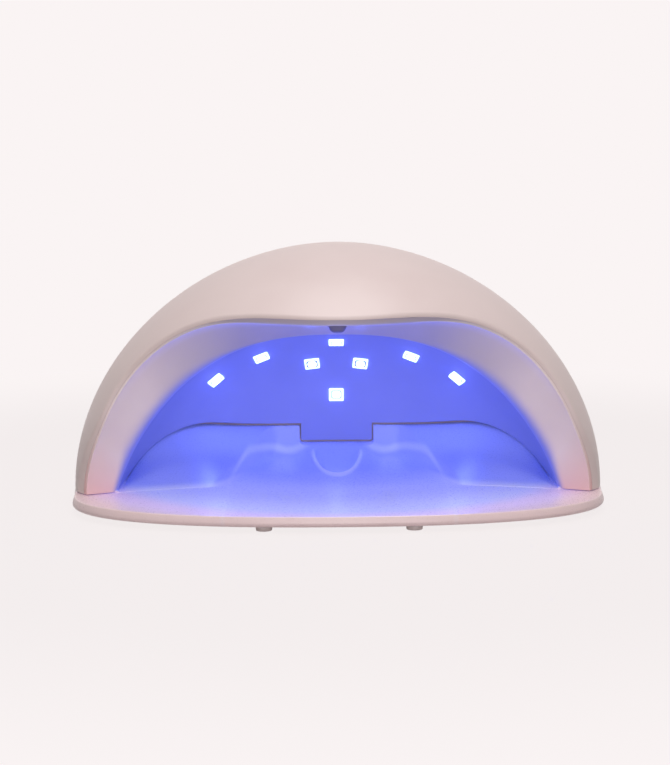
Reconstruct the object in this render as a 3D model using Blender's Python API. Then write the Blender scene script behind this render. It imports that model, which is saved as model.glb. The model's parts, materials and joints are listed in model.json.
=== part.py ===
"""UV LED nail lamp: a domed lamp head that lifts off a tray with finger bays.

Units are metres, +Z is up and the mouth faces -Y. The origin is the middle of the footprint, on the
surface that the feet stand on. Tray and head are modelled around the dome's centre, with the plate's
top face at height zero, and their parent empties carry them to their place.
"""

import math

import bmesh
import bpy
from mathutils import Matrix, Vector

MM = 0.001

# Fits between pieces
SEAT_GAP = 0.3 * MM
SLIDE_GAP = 0.3 * MM
SCREW_GAP = 0.3 * MM

# Dome shell
SHELL_HALF_WIDTH = 108.2 * MM
SHELL_DEPTH = 90.0 * MM
SHELL_HEIGHT = 99.1 * MM
SHELL_ROUNDNESS = 1.93
SHELL_WALL = 2.0 * MM
MOUTH_SIDE_REACH = 31.0 * MM
VISOR_REACH = 27.3 * MM
VISOR_SIDE_RUN = 16.2 * MM
MOUTH_HEEL = 11.0 * MM

# Reflector bowl, set in from the dome's outside
BOWL_SIDE_SET_IN = 18.8 * MM
BOWL_TOP_SET_IN = 35.7 * MM
BOWL_BACK_SET_IN = 24.0 * MM
BOWL_FRONT_REACH = 19.7 * MM
BOWL_WALL = 1.8 * MM
BOWL_PLAN_ROUNDNESS = 2.5
BOWL_SIDE_ROUNDNESS = 2.8
ARCH_FRONT_ROUNDNESS = Vector((2.6, 1.2))
ARCH_BACK_ROUNDNESS = Vector((2.2, 2.0))
TAB_HALF_WIDTH = 15.7 * MM
TAB_FOOT_HEIGHT = 7.4 * MM

# Joint line between the bowl and the tray's wall
SEAM_GAP = 0.5 * MM
SEAM_HEIGHT = 16.2 * MM
SEAM_RISE_START = -2.0 * MM
SEAM_RISE_LENGTH = 52.0 * MM
SEAM_DIP = 1.8 * MM
SEAM_DIP_START = 50.0 * MM
SEAM_DIP_LENGTH = 16.0 * MM

# Mouth bezel
BEZEL_WALL = 1.5 * MM
LIP_GAP = 0.5 * MM
LIP_SETBACK = 0.8 * MM
BEZEL_DROP_POWER = 1.3

# Tray plate
TRAY_OVERHANG = 0.5 * MM
TRAY_FRONT_REACH = 72.8 * MM
TRAY_NOSE_START = 20.0 * MM
TRAY_NOSE_SIDE_INSET = 1.5 * MM
TRAY_NOSE_ROUNDNESS = 3.2
PLATE_THICKNESS = 4.2 * MM
PLATE_NOSE_SLOPE = 2.0 * MM
PLATE_BAND = 0.4 * MM
PLATE_UNDERCUT = 1.4 * MM

# Hand pad on the plate
CREASE_REACH = 4.0 * MM
CREASE_SWEEP = 16.5 * MM
WING_START = 42.0 * MM
WING_TAPER = 0.18
WING_BLEND = 8.0 * MM
WING_CURVE = 1.1
BAY_CURVE = 2.0
BAY_WALL_RUN = 17.0 * MM
BAY_SCALLOP = 6.0 * MM
FINGER_X = 31.0 * MM
FINGER_PITCH = 16.5 * MM
TONGUE_HALF_WIDTH = 10.3 * MM
TONGUE_TIP_SET_BACK = 15.0 * MM
TONGUE_NOSE_LENGTH = 25.0 * MM
TONGUE_EDGE_RUN = 3.0 * MM
TONGUE_ROOT_HEIGHT = 6.6 * MM
PAD_SINK = 0.5 * MM
PAD_ROOT = 2.0 * MM

# Feet
FOOT_RADIUS = 3.0 * MM
FOOT_HEIGHT = 2.5 * MM
FOOT_SOCKET_DEPTH = 1.2 * MM
FOOT_ROUND = 0.5 * MM
FOOT_FRONT_X = 29.0 * MM
FOOT_FRONT_INSET = 8.8 * MM
FOOT_REAR_X = 45.0 * MM
FOOT_REAR_INSET = 20.0 * MM

# Base frame, its screws and the magnets under it
FRAME_THICKNESS = 3.2 * MM
FRAME_GAP = 0.6 * MM
FRAME_UPSTAND_WALL = 1.5 * MM
FRAME_UPSTAND_HEIGHT = 18.5 * MM
FRAME_START_ANGLE = math.radians(-7.0)
FRAME_SCREW_ANGLES = (math.radians(24.0), math.radians(72.0))
SCREW_SHANK_RADIUS = 1.5 * MM
SCREW_HEAD_RADIUS = 2.9 * MM
SCREW_HEAD_HEIGHT = 1.6 * MM
SCREW_LENGTH = 10.0 * MM
SCREW_HEAD_INSET = 0.3 * MM
BOSS_RADIUS = 3.6 * MM
MAGNET_ANGLES = (math.radians(3.0), math.radians(48.0))
MAGNET_RADIUS = 4.0 * MM
MAGNET_THICKNESS = 2.4 * MM
KEEPER_RADIUS = 4.5 * MM
KEEPER_THICKNESS = 1.2 * MM

# UV lamps: depth angle into the bowl and arch angle from its foot
LED_SPOTS = {
    "back": (math.radians(75.0), math.radians(90.0)),
    "pair": (math.radians(60.0), math.radians(79.0)),
    "top": (math.radians(45.5), math.radians(90.0)),
    "inner": (math.radians(48.0), math.radians(62.0)),
    "outer": (math.radians(45.0), math.radians(43.5)),
}
LED_HALF_WIDTH = 3.5 * MM
LED_HALF_LENGTH = 3.2 * MM
LED_PROUD = 0.9 * MM
LED_LENS_RADIUS = 2.7 * MM
LED_LENS_HEIGHT = 1.5 * MM
LED_BOARD_HALF_WIDTH = 6.5 * MM
LED_BOARD_HALF_LENGTH = 5.5 * MM
LED_BOARD_THICKNESS = 1.2 * MM
LED_BOARD_RELIEF = 0.8 * MM

# Hand sensor in the bezel's roof
SENSOR_SHARE = 0.27
SENSOR_RADIUS = 3.8 * MM
SENSOR_PROUD = 2.4 * MM
SENSOR_FLANGE_RADIUS = 5.2 * MM
SENSOR_FLANGE_THICKNESS = 1.2 * MM
SENSOR_BOARD_HALF_WIDTH = 7.0 * MM
SENSOR_BOARD_HALF_LENGTH = 5.5 * MM
SENSOR_BOARD_THICKNESS = 1.2 * MM

# Control panel on the back of the crest
PANEL_SET_BACK = 37.0 * MM
BOARD_DEPTH = 13.0 * MM
BOARD_HALF_WIDTH = 27.0 * MM
BOARD_HALF_LENGTH = 17.0 * MM
BOARD_THICKNESS = 1.6 * MM
POST_X = 21.5 * MM
POST_Y = 8.0 * MM
POST_RADIUS = 2.6 * MM
BOARD_SCREW_SHANK_RADIUS = 1.0 * MM
BOARD_SCREW_HEAD_RADIUS = 2.2 * MM
BOARD_SCREW_HEAD_HEIGHT = 1.4 * MM
BOARD_SCREW_LENGTH = 5.0 * MM
BUTTON_PITCH = 18.0 * MM
BUTTON_Y = -9.0 * MM
BUTTON_RADIUS = 5.5 * MM
BUTTON_PROUD = 0.8 * MM
BUTTON_CROWN = 0.5 * MM
BUTTON_FLANGE_WIDTH = 0.9 * MM
BUTTON_FLANGE_THICKNESS = 0.8 * MM
BUTTON_STEM_RADIUS = 1.4 * MM
SWITCH_HALF_WIDTH = 3.0 * MM
SWITCH_HEIGHT = 3.0 * MM
SWITCH_FLOOR = 0.8 * MM
SWITCH_STEM_OVERLAP = 0.8 * MM
DISPLAY_Y = 9.5 * MM
DISPLAY_HALF_WIDTH = 15.0 * MM
DISPLAY_HALF_LENGTH = 6.5 * MM
DISPLAY_CORNER = 2.5 * MM
DISPLAY_MODULE_BORDER = 1.5 * MM
DISPLAY_MODULE_CLEARANCE = 0.6 * MM

# DC inlet and vent slots at the back
INLET_HEIGHT = 22.0 * MM
INLET_BARREL_RADIUS = 4.0 * MM
INLET_BARREL_LENGTH = 11.0 * MM
INLET_FLANGE_RADIUS = 5.5 * MM
INLET_FLANGE_THICKNESS = 1.2 * MM
INLET_BORE_RADIUS = 2.8 * MM
INLET_BORE_DEPTH = 9.0 * MM
INLET_PIN_RADIUS = 1.0 * MM
INLET_PIN_SETBACK = 1.5 * MM
INLET_NUT_RADIUS = 5.6 * MM
INLET_NUT_SIDES = 6
INLET_NUT_THICKNESS = 2.2 * MM
VENT_COUNT = 7
VENT_PITCH = 7.0 * MM
VENT_WIDTH = 2.2 * MM
VENT_LENGTH = 15.0 * MM
VENT_FOOT_HEIGHT = 36.0 * MM

# Mesh fineness
SHELL_COLUMNS = 36
SHELL_ROWS = 14
BOWL_COLUMNS = 32
BOWL_ROWS = 12
BEZEL_ROWS = 4
NOSE_STEPS = 12
FLANK_STEPS = 4
TAIL_STEPS = 14
BOWL_FOOT_STEPS = 28
PAD_COLUMNS = 42
PAD_ROWS = 20
SEAM_STEPS = 14
FRAME_STEPS = 26
FINE_SIDES = 20
SMALL_SIDES = 12
ELLIPSE = 2
POCKET_SOLVER = "MANIFOLD"
WELD = 0.005 * MM
SOLVER_STEPS = 48
SMOOTH_ANGLE = math.radians(35.0)
CUT_MARGIN = 5.0 * MM
PROBE = 0.05 * MM

# Sizes and places worked out from those above
VISOR_HALF_SPAN = SHELL_HALF_WIDTH - VISOR_SIDE_RUN
BOWL_HALF_WIDTH = SHELL_HALF_WIDTH - BOWL_SIDE_SET_IN
BOWL_HEIGHT = SHELL_HEIGHT - BOWL_TOP_SET_IN
BOWL_DEPTH = SHELL_DEPTH - BOWL_BACK_SET_IN + BOWL_FRONT_REACH
TRAY_HALF_WIDTH = SHELL_HALF_WIDTH + TRAY_OVERHANG
TRAY_NOSE_HALF_WIDTH = TRAY_HALF_WIDTH - TRAY_NOSE_SIDE_INSET
TRAY_BACK_REACH = SHELL_DEPTH + TRAY_OVERHANG
DOME_Y = (TRAY_FRONT_REACH - TRAY_BACK_REACH) / 2
PLATE_TOP = FOOT_HEIGHT + PLATE_THICKNESS
SIDES = {"left": -1, "right": 1}


def blend(start, end, share):
    """Value a share of the way from start to end."""
    return start + (end - start) * share


def smooth_step(share):
    """Ease from 0 to 1 with level ends."""
    share = min(1.0, max(0.0, share))
    return share * share * (3 - 2 * share)


def round_off(share, power):
    """Ordinate of a superellipse of unit half-axes at the given abscissa."""
    return max(0.0, 1 - min(1.0, abs(share)) ** power) ** (1 / power)


def solve(function, low, high):
    """Point between low, where the function is positive, and high, where it is not."""
    for _ in range(SOLVER_STEPS):
        middle = (low + high) / 2
        if function(middle) > 0:
            low = middle
        else:
            high = middle
    return (low + high) / 2


# Surfaces of the dome, the bowl, the bezel and the pad

def mouth_reach(x):
    """How far in front of the dome's centre the visor's edge lies at x."""
    share = min(1.0, abs(x) / VISOR_HALF_SPAN)
    heel = max(0.0, abs(x) - VISOR_HALF_SPAN) / (SHELL_HALF_WIDTH - VISOR_HALF_SPAN)
    return MOUTH_SIDE_REACH + VISOR_REACH * (1 + math.cos(math.pi * share)) / 2 - MOUTH_HEEL * heel ** 2


def shell_point(back_angle, arch_angle, inset=0.0):
    """Point on the dome, from the back pole forward and from the right foot over to the left."""
    ring = math.sin(back_angle)
    plan = math.sqrt(max(0.0, 1 - (ring * math.sin(arch_angle)) ** 2))
    return Vector((
        (SHELL_HALF_WIDTH - inset) * ring * math.cos(arch_angle),
        (SHELL_DEPTH - inset) * math.cos(back_angle),
        (SHELL_HEIGHT - inset) * round_off(plan, SHELL_ROUNDNESS),
    ))


def mouth_angle(arch_angle, inset=0.0, setback=0.0):
    """Back angle at which the dome's surface meets the visor's edge."""
    def before_edge(back_angle):
        point = shell_point(back_angle, arch_angle, inset)
        return point.y + mouth_reach(point.x) - setback
    return solve(before_edge, math.pi / 2, math.pi)


def shell_height(x, y, inset=0.0):
    """Height of the dome over a point in plan."""
    plan = math.hypot(x / (SHELL_HALF_WIDTH - inset), y / (SHELL_DEPTH - inset))
    return (SHELL_HEIGHT - inset) * round_off(plan, SHELL_ROUNDNESS)


def bowl_point(depth_angle, arch_angle, grow=0.0):
    """Point on the bowl, from its front edge back and from the right foot over to the left."""
    share = math.sin(depth_angle)
    across, up = ARCH_FRONT_ROUNDNESS.lerp(ARCH_BACK_ROUNDNESS, share)
    lean = math.cos(arch_angle)
    return Vector((
        (BOWL_HALF_WIDTH + grow) * round_off(share, BOWL_PLAN_ROUNDNESS) * lean,
        (BOWL_DEPTH + grow) * share - BOWL_FRONT_REACH,
        (BOWL_HEIGHT + grow) * round_off(share, BOWL_SIDE_ROUNDNESS)
        * max(0.0, 1 - abs(lean) ** across) ** (1 / up),
    ))


def bowl_outline_y(x, grow=0.0):
    """Back edge of the bowl's footprint at x."""
    share = abs(x) / (BOWL_HALF_WIDTH + grow)
    return (BOWL_DEPTH + grow) * round_off(share, BOWL_PLAN_ROUNDNESS) - BOWL_FRONT_REACH


def bezel_point(share, arch_angle, behind=0.0):
    """Point on the bezel, from the visor's lip in to the bowl's front edge."""
    inset = SHELL_WALL + LIP_GAP
    lip = shell_point(mouth_angle(arch_angle, inset, LIP_SETBACK + behind), arch_angle, inset)
    edge = bowl_point(0.0, arch_angle, behind)
    edge.y -= SEAT_GAP
    point = lip.lerp(edge, share)
    point.z = blend(lip.z, edge.z, share ** BEZEL_DROP_POWER)
    return point


def seam_height(y):
    """Height of the joint line between bowl and tray wall."""
    rise = SEAM_HEIGHT * smooth_step((y - SEAM_RISE_START) / SEAM_RISE_LENGTH)
    return rise - SEAM_DIP * smooth_step((y - SEAM_DIP_START) / SEAM_DIP_LENGTH)


def pad_height(x, y):
    """Height of the hand pad: side wings, scalloped finger bays and the tongue between them."""
    span = abs(x)
    outline = bowl_outline_y(x)
    crease = -CREASE_REACH - CREASE_SWEEP * (span / BOWL_HALF_WIDTH) ** 2
    wing = smooth_step((span - WING_START + WING_TAPER * y) / WING_BLEND)
    scallop = math.cos(2 * math.pi * (span - FINGER_X) / FINGER_PITCH)
    run = max(BAY_WALL_RUN / 2, blend(BAY_WALL_RUN - BAY_SCALLOP * scallop, outline - crease, wing))
    rise = min(1.0, max(0.0, 1 - (outline - y) / run))
    wall = seam_height(outline) * rise ** blend(BAY_CURVE, WING_CURVE, wing)
    return max(wall, tongue_height(x, y))


def tongue_height(x, y):
    """Height of the tongue that slopes down from the bowl's tab to the floor."""
    along = y - TONGUE_TIP_SET_BACK
    if along <= 0:
        return 0.0
    half_width = TONGUE_HALF_WIDTH * round_off(max(0.0, 1 - along / TONGUE_NOSE_LENGTH), ELLIPSE)
    edge = smooth_step((half_width - abs(x)) / TONGUE_EDGE_RUN)
    return edge * TONGUE_ROOT_HEIGHT * along / (bowl_outline_y(0.0) - TONGUE_TIP_SET_BACK)


def tray_outline(nose_inset, tail_inset):
    """Plan of the plate: a squarish nose in front, eased into the dome's footprint behind."""
    nose = TRAY_FRONT_REACH - TRAY_NOSE_START - nose_inset
    nose_half = TRAY_NOSE_HALF_WIDTH - nose_inset
    tail = TRAY_BACK_REACH - tail_inset
    tail_half = TRAY_HALF_WIDTH - tail_inset
    power = 2 / TRAY_NOSE_ROUNDNESS
    right = []
    for step in range(NOSE_STEPS):
        angle = math.pi / 2 * step / NOSE_STEPS
        across = nose_half * math.sin(angle) ** power
        right.append((across, -TRAY_NOSE_START - nose * math.cos(angle) ** power))
    for step in range(FLANK_STEPS):
        share = step / FLANK_STEPS
        half = blend(nose_half, tail_half, smooth_step(share))
        right.append((half, -TRAY_NOSE_START * (1 - share)))
    for step in range(TAIL_STEPS + 1):
        angle = math.pi / 2 * step / TAIL_STEPS
        right.append((tail_half * math.cos(angle), tail * math.sin(angle)))
    left = [(-x, y) for x, y in reversed(right[1:-1])]
    return right + left


def frame_radii(angle):
    """Inner and outer reach of the base frame along a ray from the dome's centre."""
    across, along = math.cos(angle), math.sin(angle)
    grow = BOWL_WALL + FRAME_GAP
    inset = SHELL_WALL + FRAME_GAP

    def within_bowl(reach):
        front = max(0.0, reach * along + BOWL_FRONT_REACH) / (BOWL_DEPTH + grow)
        side = abs(reach * across) / (BOWL_HALF_WIDTH + grow)
        return 1 - side ** BOWL_PLAN_ROUNDNESS - front ** BOWL_PLAN_ROUNDNESS

    inner = solve(within_bowl, 0.0, SHELL_HALF_WIDTH + SHELL_DEPTH)
    outer = 1 / math.hypot(across / (SHELL_HALF_WIDTH - inset), along / (SHELL_DEPTH - inset))
    return inner, outer


def frame_spot(angle, side):
    """Middle of the base frame's flat at a ray, mirrored to the given side."""
    inner, outer = frame_radii(angle)
    reach = (inner + FRAME_UPSTAND_WALL + outer) / 2
    return Vector((side * reach * math.cos(angle), reach * math.sin(angle), 0.0))


# Mesh building

def tidy(shape):
    """Weld coincident points and turn every face outward."""
    bmesh.ops.remove_doubles(shape, verts=shape.verts, dist=WELD)
    bmesh.ops.recalc_face_normals(shape, faces=shape.faces)
    return shape


def wall_between(outer, inner):
    """Closed wall between two matching grids of points."""
    shape = bmesh.new()
    top, under = [[[shape.verts.new(p) for p in row] for row in grid] for grid in (outer, inner)]
    rows = range(len(outer) - 1)
    columns = range(len(outer[0]) - 1)
    for i in rows:
        for j in columns:
            for grid in (top, under):
                shape.faces.new((grid[i][j], grid[i][j + 1], grid[i + 1][j + 1], grid[i + 1][j]))
    for i in rows:
        for j in (0, -1):
            shape.faces.new((top[i][j], top[i + 1][j], under[i + 1][j], under[i][j]))
    for j in columns:
        for i in (0, -1):
            shape.faces.new((top[i][j], top[i][j + 1], under[i][j + 1], under[i][j]))
    bmesh.ops.triangulate(shape, faces=shape.faces)
    return tidy(shape)


def loft(sections):
    """Closed body through matching loops of points, capped at both ends."""
    shape = bmesh.new()
    rings = [[shape.verts.new(point) for point in section] for section in sections]
    count = len(rings[0])
    for low, high in zip(rings, rings[1:]):
        for j in range(count):
            shape.faces.new((low[j - 1], low[j], high[j], high[j - 1]))
    shape.faces.new(rings[0])
    shape.faces.new(rings[-1])
    return tidy(shape)


def circle(radius, z, sides):
    """Loop of points round the Z axis."""
    turns = [2 * math.pi * (step + 0.5) / sides for step in range(sides)]
    return [(radius * math.cos(turn), radius * math.sin(turn), z) for turn in turns]


def rectangle(half_width, half_length, z, sides):
    """Rectangular loop with as many points as a circle, spread evenly by angle."""
    loop = []
    for x, y, _ in circle(1.0, z, sides):
        stretch = 1 / max(abs(x), abs(y))
        loop.append((half_width * x * stretch, half_length * y * stretch, z))
    return loop


def turned(profile, sides):
    """Body turned about Z from (radius, height) points."""
    return loft([circle(radius, z, sides) for radius, z in profile])


def rod(radius, low, high, sides=FINE_SIDES):
    """Plain round bar along Z."""
    return turned([(radius, low), (radius, high)], sides)


def block(low, high):
    """Box between two opposite corners."""
    loop = [(low[0], low[1]), (high[0], low[1]), (high[0], high[1]), (low[0], high[1])]
    return prism(loop, low[2], high[2])


def prism(outline, low, high):
    """Plan outline raised between two heights."""
    return loft([[(x, y, z) for x, y in outline] for z in (low, high)])


def rounded_rectangle(half_width, half_length, corner):
    """Plan outline of a rectangle with round corners."""
    points = []
    for quarter, (x, y) in enumerate(((1, 1), (-1, 1), (-1, -1), (1, -1))):
        for step in range(SMALL_SIDES // 4 + 1):
            angle = math.pi / 2 * (quarter + step / (SMALL_SIDES // 4))
            points.append((
                x * (half_width - corner) + corner * math.cos(angle),
                y * (half_length - corner) + corner * math.sin(angle),
            ))
    return points


def frame_from(origin, outward, across):
    """Placing matrix whose Z points outward and whose X runs across."""
    z_axis = outward.normalized()
    x_axis = (across - z_axis * across.dot(z_axis)).normalized()
    y_axis = z_axis.cross(x_axis)
    return Matrix.Translation(origin) @ Matrix((x_axis, y_axis, z_axis)).transposed().to_4x4()


def surface_frame(surface, u, v, toward):
    """Placing matrix on a surface: X along its arch, Z to the side that the toward point is on."""
    origin = surface(u, v)
    along = surface(u + PROBE, v) - surface(u - PROBE, v)
    across = surface(u, v - PROBE) - surface(u, v + PROBE)
    outward = along.cross(across)
    if outward.dot(toward - origin) < 0:
        outward.negate()
    return frame_from(origin, outward, across)


# Objects and materials

def plastic(name, colour, roughness, metallic=0.0):
    """Principled material with one colour."""
    material = bpy.data.materials.new(name)
    material.use_nodes = True
    shader = material.node_tree.nodes["Principled BSDF"]
    shader.inputs["Base Color"].default_value = (*colour, 1.0)
    shader.inputs["Roughness"].default_value = roughness
    shader.inputs["Metallic"].default_value = metallic
    material.diffuse_color = (*colour, 1.0)
    return material


def add_piece(name, shape, material, parent, place=None):
    """Object from a mesh under a parent empty."""
    mesh = bpy.data.meshes.new(name)
    shape.to_mesh(mesh)
    shape.free()
    mesh.shade_smooth()
    mesh.set_sharp_from_angle(angle=SMOOTH_ANGLE)
    if material:
        mesh.materials.append(material)
    return add_object(name, mesh, parent, place)


def add_object(name, data, parent, place=None):
    """Linked object under a parent."""
    piece = bpy.data.objects.new(name, data)
    bpy.context.scene.collection.objects.link(piece)
    piece.parent = parent
    piece.matrix_basis = place or Matrix.Identity(4)
    return piece


def combine(piece, name, shape, parent, place=None, operation="DIFFERENCE", solver="EXACT"):
    """Cut or join a piece with a hidden tool body."""
    tool = add_piece(f"{name}_tool", shape, None, parent, place)
    tool.hide_render = True
    tool.display_type = "WIRE"
    return use_tool(piece, tool, operation, solver)


def use_tool(piece, tool, operation, solver="EXACT"):
    """Boolean step on a piece with a tool body that exists already."""
    step = piece.modifiers.new(tool.name, "BOOLEAN")
    step.operation = operation
    step.solver = solver
    step.object = tool
    return tool


# Tray

def add_tray(parent, material):
    """Plate with its hand pad, foot sockets and magnet pockets."""
    turn = PLATE_UNDERCUT * (1 - math.sqrt(0.5))
    brow = -PLATE_THICKNESS + PLATE_UNDERCUT
    levels = (
        (PLATE_UNDERCUT, PLATE_UNDERCUT, -PLATE_THICKNESS),
        (turn, turn, -PLATE_THICKNESS + turn),
        (0.0, 0.0, brow),
        (0.0, 0.0, brow + PLATE_BAND),
        (PLATE_NOSE_SLOPE, TRAY_OVERHANG, 0.0),
    )
    plate = loft([[(x, y, z) for x, y in tray_outline(nose, tail)] for nose, tail, z in levels])
    tray = add_piece("base_tray", plate, material, parent)
    pad = combine(tray, "pad", pad_block(), parent, operation="UNION")
    combine(pad, "pad_outline", pad_outline(), parent, operation="INTERSECT")
    combine(pad, "pad_notch", pad_notch(), parent)
    return tray


def pad_block():
    """Thick sheet whose top follows the hand pad."""
    half = BOWL_HALF_WIDTH + BOWL_WALL + CUT_MARGIN
    front = -BOWL_FRONT_REACH - CUT_MARGIN
    back = BOWL_DEPTH - BOWL_FRONT_REACH + BOWL_WALL + CUT_MARGIN
    top, under = [], []
    for i in range(PAD_ROWS + 1):
        y = blend(front, back, i / PAD_ROWS)
        xs = [blend(-half, half, j / PAD_COLUMNS) for j in range(PAD_COLUMNS + 1)]
        top.append([(x, y, pad_height(x, y) or -PAD_SINK) for x in xs])
        under.append([(x, y, -PAD_ROOT) for x in xs])
    return wall_between(top, under)


def pad_outline():
    """Prism on the bowl's footprint that trims the hand pad."""
    half_pi = math.pi / 2
    turns = [half_pi * step / BOWL_FOOT_STEPS for step in range(BOWL_FOOT_STEPS + 1)]
    ends = [bowl_point(turn, 0.0, BOWL_WALL) for turn in turns]
    right = [(point.x, point.y) for point in ends]
    left = [(-x, y) for x, y in reversed(right[:-1])]
    return prism(right + left, -PAD_ROOT - CUT_MARGIN, SEAM_HEIGHT + CUT_MARGIN)


def pad_notch():
    """Slot in the tray's wall for the bowl's centre tab."""
    half = TAB_HALF_WIDTH + SEAM_GAP
    back = bowl_outline_y(0.0)
    low = (-half, back - TAB_HALF_WIDTH, TAB_FOOT_HEIGHT - SEAM_GAP)
    return block(low, (half, back + CUT_MARGIN, SEAM_HEIGHT + CUT_MARGIN))


def add_feet(tray, parent, material):
    """Four feet in sockets under the plate."""
    front_y = -TRAY_FRONT_REACH + FOOT_FRONT_INSET
    rear_y = TRAY_BACK_REACH * round_off(FOOT_REAR_X / TRAY_HALF_WIDTH, ELLIPSE) - FOOT_REAR_INSET
    spots = {"front": (FOOT_FRONT_X, front_y), "rear": (FOOT_REAR_X, rear_y)}
    top = -PLATE_THICKNESS + FOOT_SOCKET_DEPTH
    for row, (x, y) in spots.items():
        for name, side in SIDES.items():
            place = Matrix.Translation((side * x, y, 0.0))
            foot = turned([
                (FOOT_RADIUS - FOOT_ROUND, -PLATE_TOP),
                (FOOT_RADIUS, -PLATE_TOP + FOOT_ROUND),
                (FOOT_RADIUS, top - SEAT_GAP),
            ], SMALL_SIDES)
            add_piece(f"foot_{row}_{name}", foot, material, parent, place)
            socket = rod(FOOT_RADIUS + SEAT_GAP, -PLATE_THICKNESS - CUT_MARGIN, top, SMALL_SIDES)
            combine(tray, f"socket_{row}_{name}", socket, parent, place, solver=POCKET_SOLVER)


def add_magnets(tray, frame, tray_parent, head_parent, magnet_material, keeper_material):
    """Magnets let into the plate, and the steel discs over them in the base frame."""
    number = 0
    for angle in MAGNET_ANGLES:
        for side in SIDES.values():
            number += 1
            place = Matrix.Translation(frame_spot(angle, side))
            floor = -MAGNET_THICKNESS - SEAT_GAP - SEAT_GAP
            magnet = rod(MAGNET_RADIUS, floor + SEAT_GAP, -SEAT_GAP, SMALL_SIDES)
            add_piece(f"tray_magnet_{number}", magnet, magnet_material, tray_parent, place)
            pocket = rod(MAGNET_RADIUS + SEAT_GAP, floor, CUT_MARGIN, SMALL_SIDES)
            combine(tray, f"magnet_pocket_{number}", pocket, tray_parent, place, solver=POCKET_SOLVER)
            keeper = rod(KEEPER_RADIUS, 0.0, KEEPER_THICKNESS, SMALL_SIDES)
            add_piece(f"keeper_disc_{number}", keeper, keeper_material, head_parent, place)
            recess_top = KEEPER_THICKNESS + SEAT_GAP
            recess = rod(KEEPER_RADIUS + SEAT_GAP, -CUT_MARGIN, recess_top, SMALL_SIDES)
            combine(frame, f"keeper_recess_{number}", recess, head_parent, place, solver=POCKET_SOLVER)


# Lamp head

def shell_body():
    """Walled dome, open at the mouth and at its foot."""
    grids = []
    for inset in (0.0, SHELL_WALL):
        arches = [math.pi * j / SHELL_COLUMNS for j in range(SHELL_COLUMNS + 1)]
        fronts = [mouth_angle(arch, inset) for arch in arches]
        grids.append([
            [shell_point(front * (1 - i / SHELL_ROWS), arch, inset) for front, arch in zip(fronts, arches)]
            for i in range(SHELL_ROWS + 1)
        ])
    return wall_between(*grids)


def add_bezel(parent, material):
    """Funnel from the visor's lip in to the bowl."""
    arches = [math.pi * j / SHELL_COLUMNS for j in range(SHELL_COLUMNS + 1)]
    grids = [
        [[bezel_point(i / BEZEL_ROWS, arch, behind) for arch in arches] for i in range(BEZEL_ROWS + 1)]
        for behind in (0.0, BEZEL_WALL)
    ]
    return add_piece("mouth_bezel", wall_between(*grids), material, parent)


def add_bowl(parent, material):
    """Reflector whose foot follows the joint line, with the tab left standing at its centre."""
    arches = [math.pi * j / BOWL_COLUMNS for j in range(BOWL_COLUMNS + 1)]
    angles = [math.pi / 2 * i / BOWL_ROWS for i in range(BOWL_ROWS + 1)]
    grids = [
        [[bowl_point(angle, arch, grow) for arch in arches] for angle in angles]
        for grow in (0.0, BOWL_WALL)
    ]
    bowl = add_piece("reflector_bowl", wall_between(*grids), material, parent)
    far = BOWL_HALF_WIDTH + BOWL_WALL + CUT_MARGIN
    for name, side in SIDES.items():
        shape = seam_prism(TAB_HALF_WIDTH * side, far * side)
        combine(bowl, f"seam_{name}", shape, parent)
    tab_cut = block(
        (-TAB_HALF_WIDTH - PROBE, 0.0, -CUT_MARGIN),
        (TAB_HALF_WIDTH + PROBE, BOWL_DEPTH, TAB_FOOT_HEIGHT),
    )
    combine(bowl, "tab", tab_cut, parent)
    return bowl


def seam_prism(start, end):
    """Body under the joint line, between two places across the lamp."""
    front = -BOWL_FRONT_REACH - CUT_MARGIN
    back = BOWL_DEPTH - BOWL_FRONT_REACH + BOWL_WALL + CUT_MARGIN
    ys = [blend(front, back, step / SEAM_STEPS) for step in range(SEAM_STEPS + 1)]
    profile = [(y, seam_height(y) + SEAM_GAP) for y in ys]
    profile += [(back, -CUT_MARGIN), (front, -CUT_MARGIN)]
    return loft([[(x, y, z) for y, z in profile] for x in (start, end)])


def add_frame(parent, material):
    """Flat rim that closes the head's underside, with an upstand round the bowl."""
    sections = []
    for step in range(FRAME_STEPS + 1):
        angle = blend(FRAME_START_ANGLE, math.pi - FRAME_START_ANGLE, step / FRAME_STEPS)
        inner, outer = frame_radii(angle)
        rib = inner + FRAME_UPSTAND_WALL
        profile = (
            (inner, 0.0), (outer, 0.0), (outer, FRAME_THICKNESS),
            (rib, FRAME_THICKNESS), (rib, FRAME_UPSTAND_HEIGHT), (inner, FRAME_UPSTAND_HEIGHT),
        )
        sections.append([(r * math.cos(angle), r * math.sin(angle), z) for r, z in profile])
    return add_piece("base_frame", loft(sections), material, parent)


def screw(shank_radius, head_radius, head_height, length):
    """Pan-head screw, head down and shank up."""
    return turned([
        (head_radius, 0.0),
        (head_radius, head_height),
        (shank_radius, head_height),
        (shank_radius, head_height + length),
    ], SMALL_SIDES)


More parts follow.
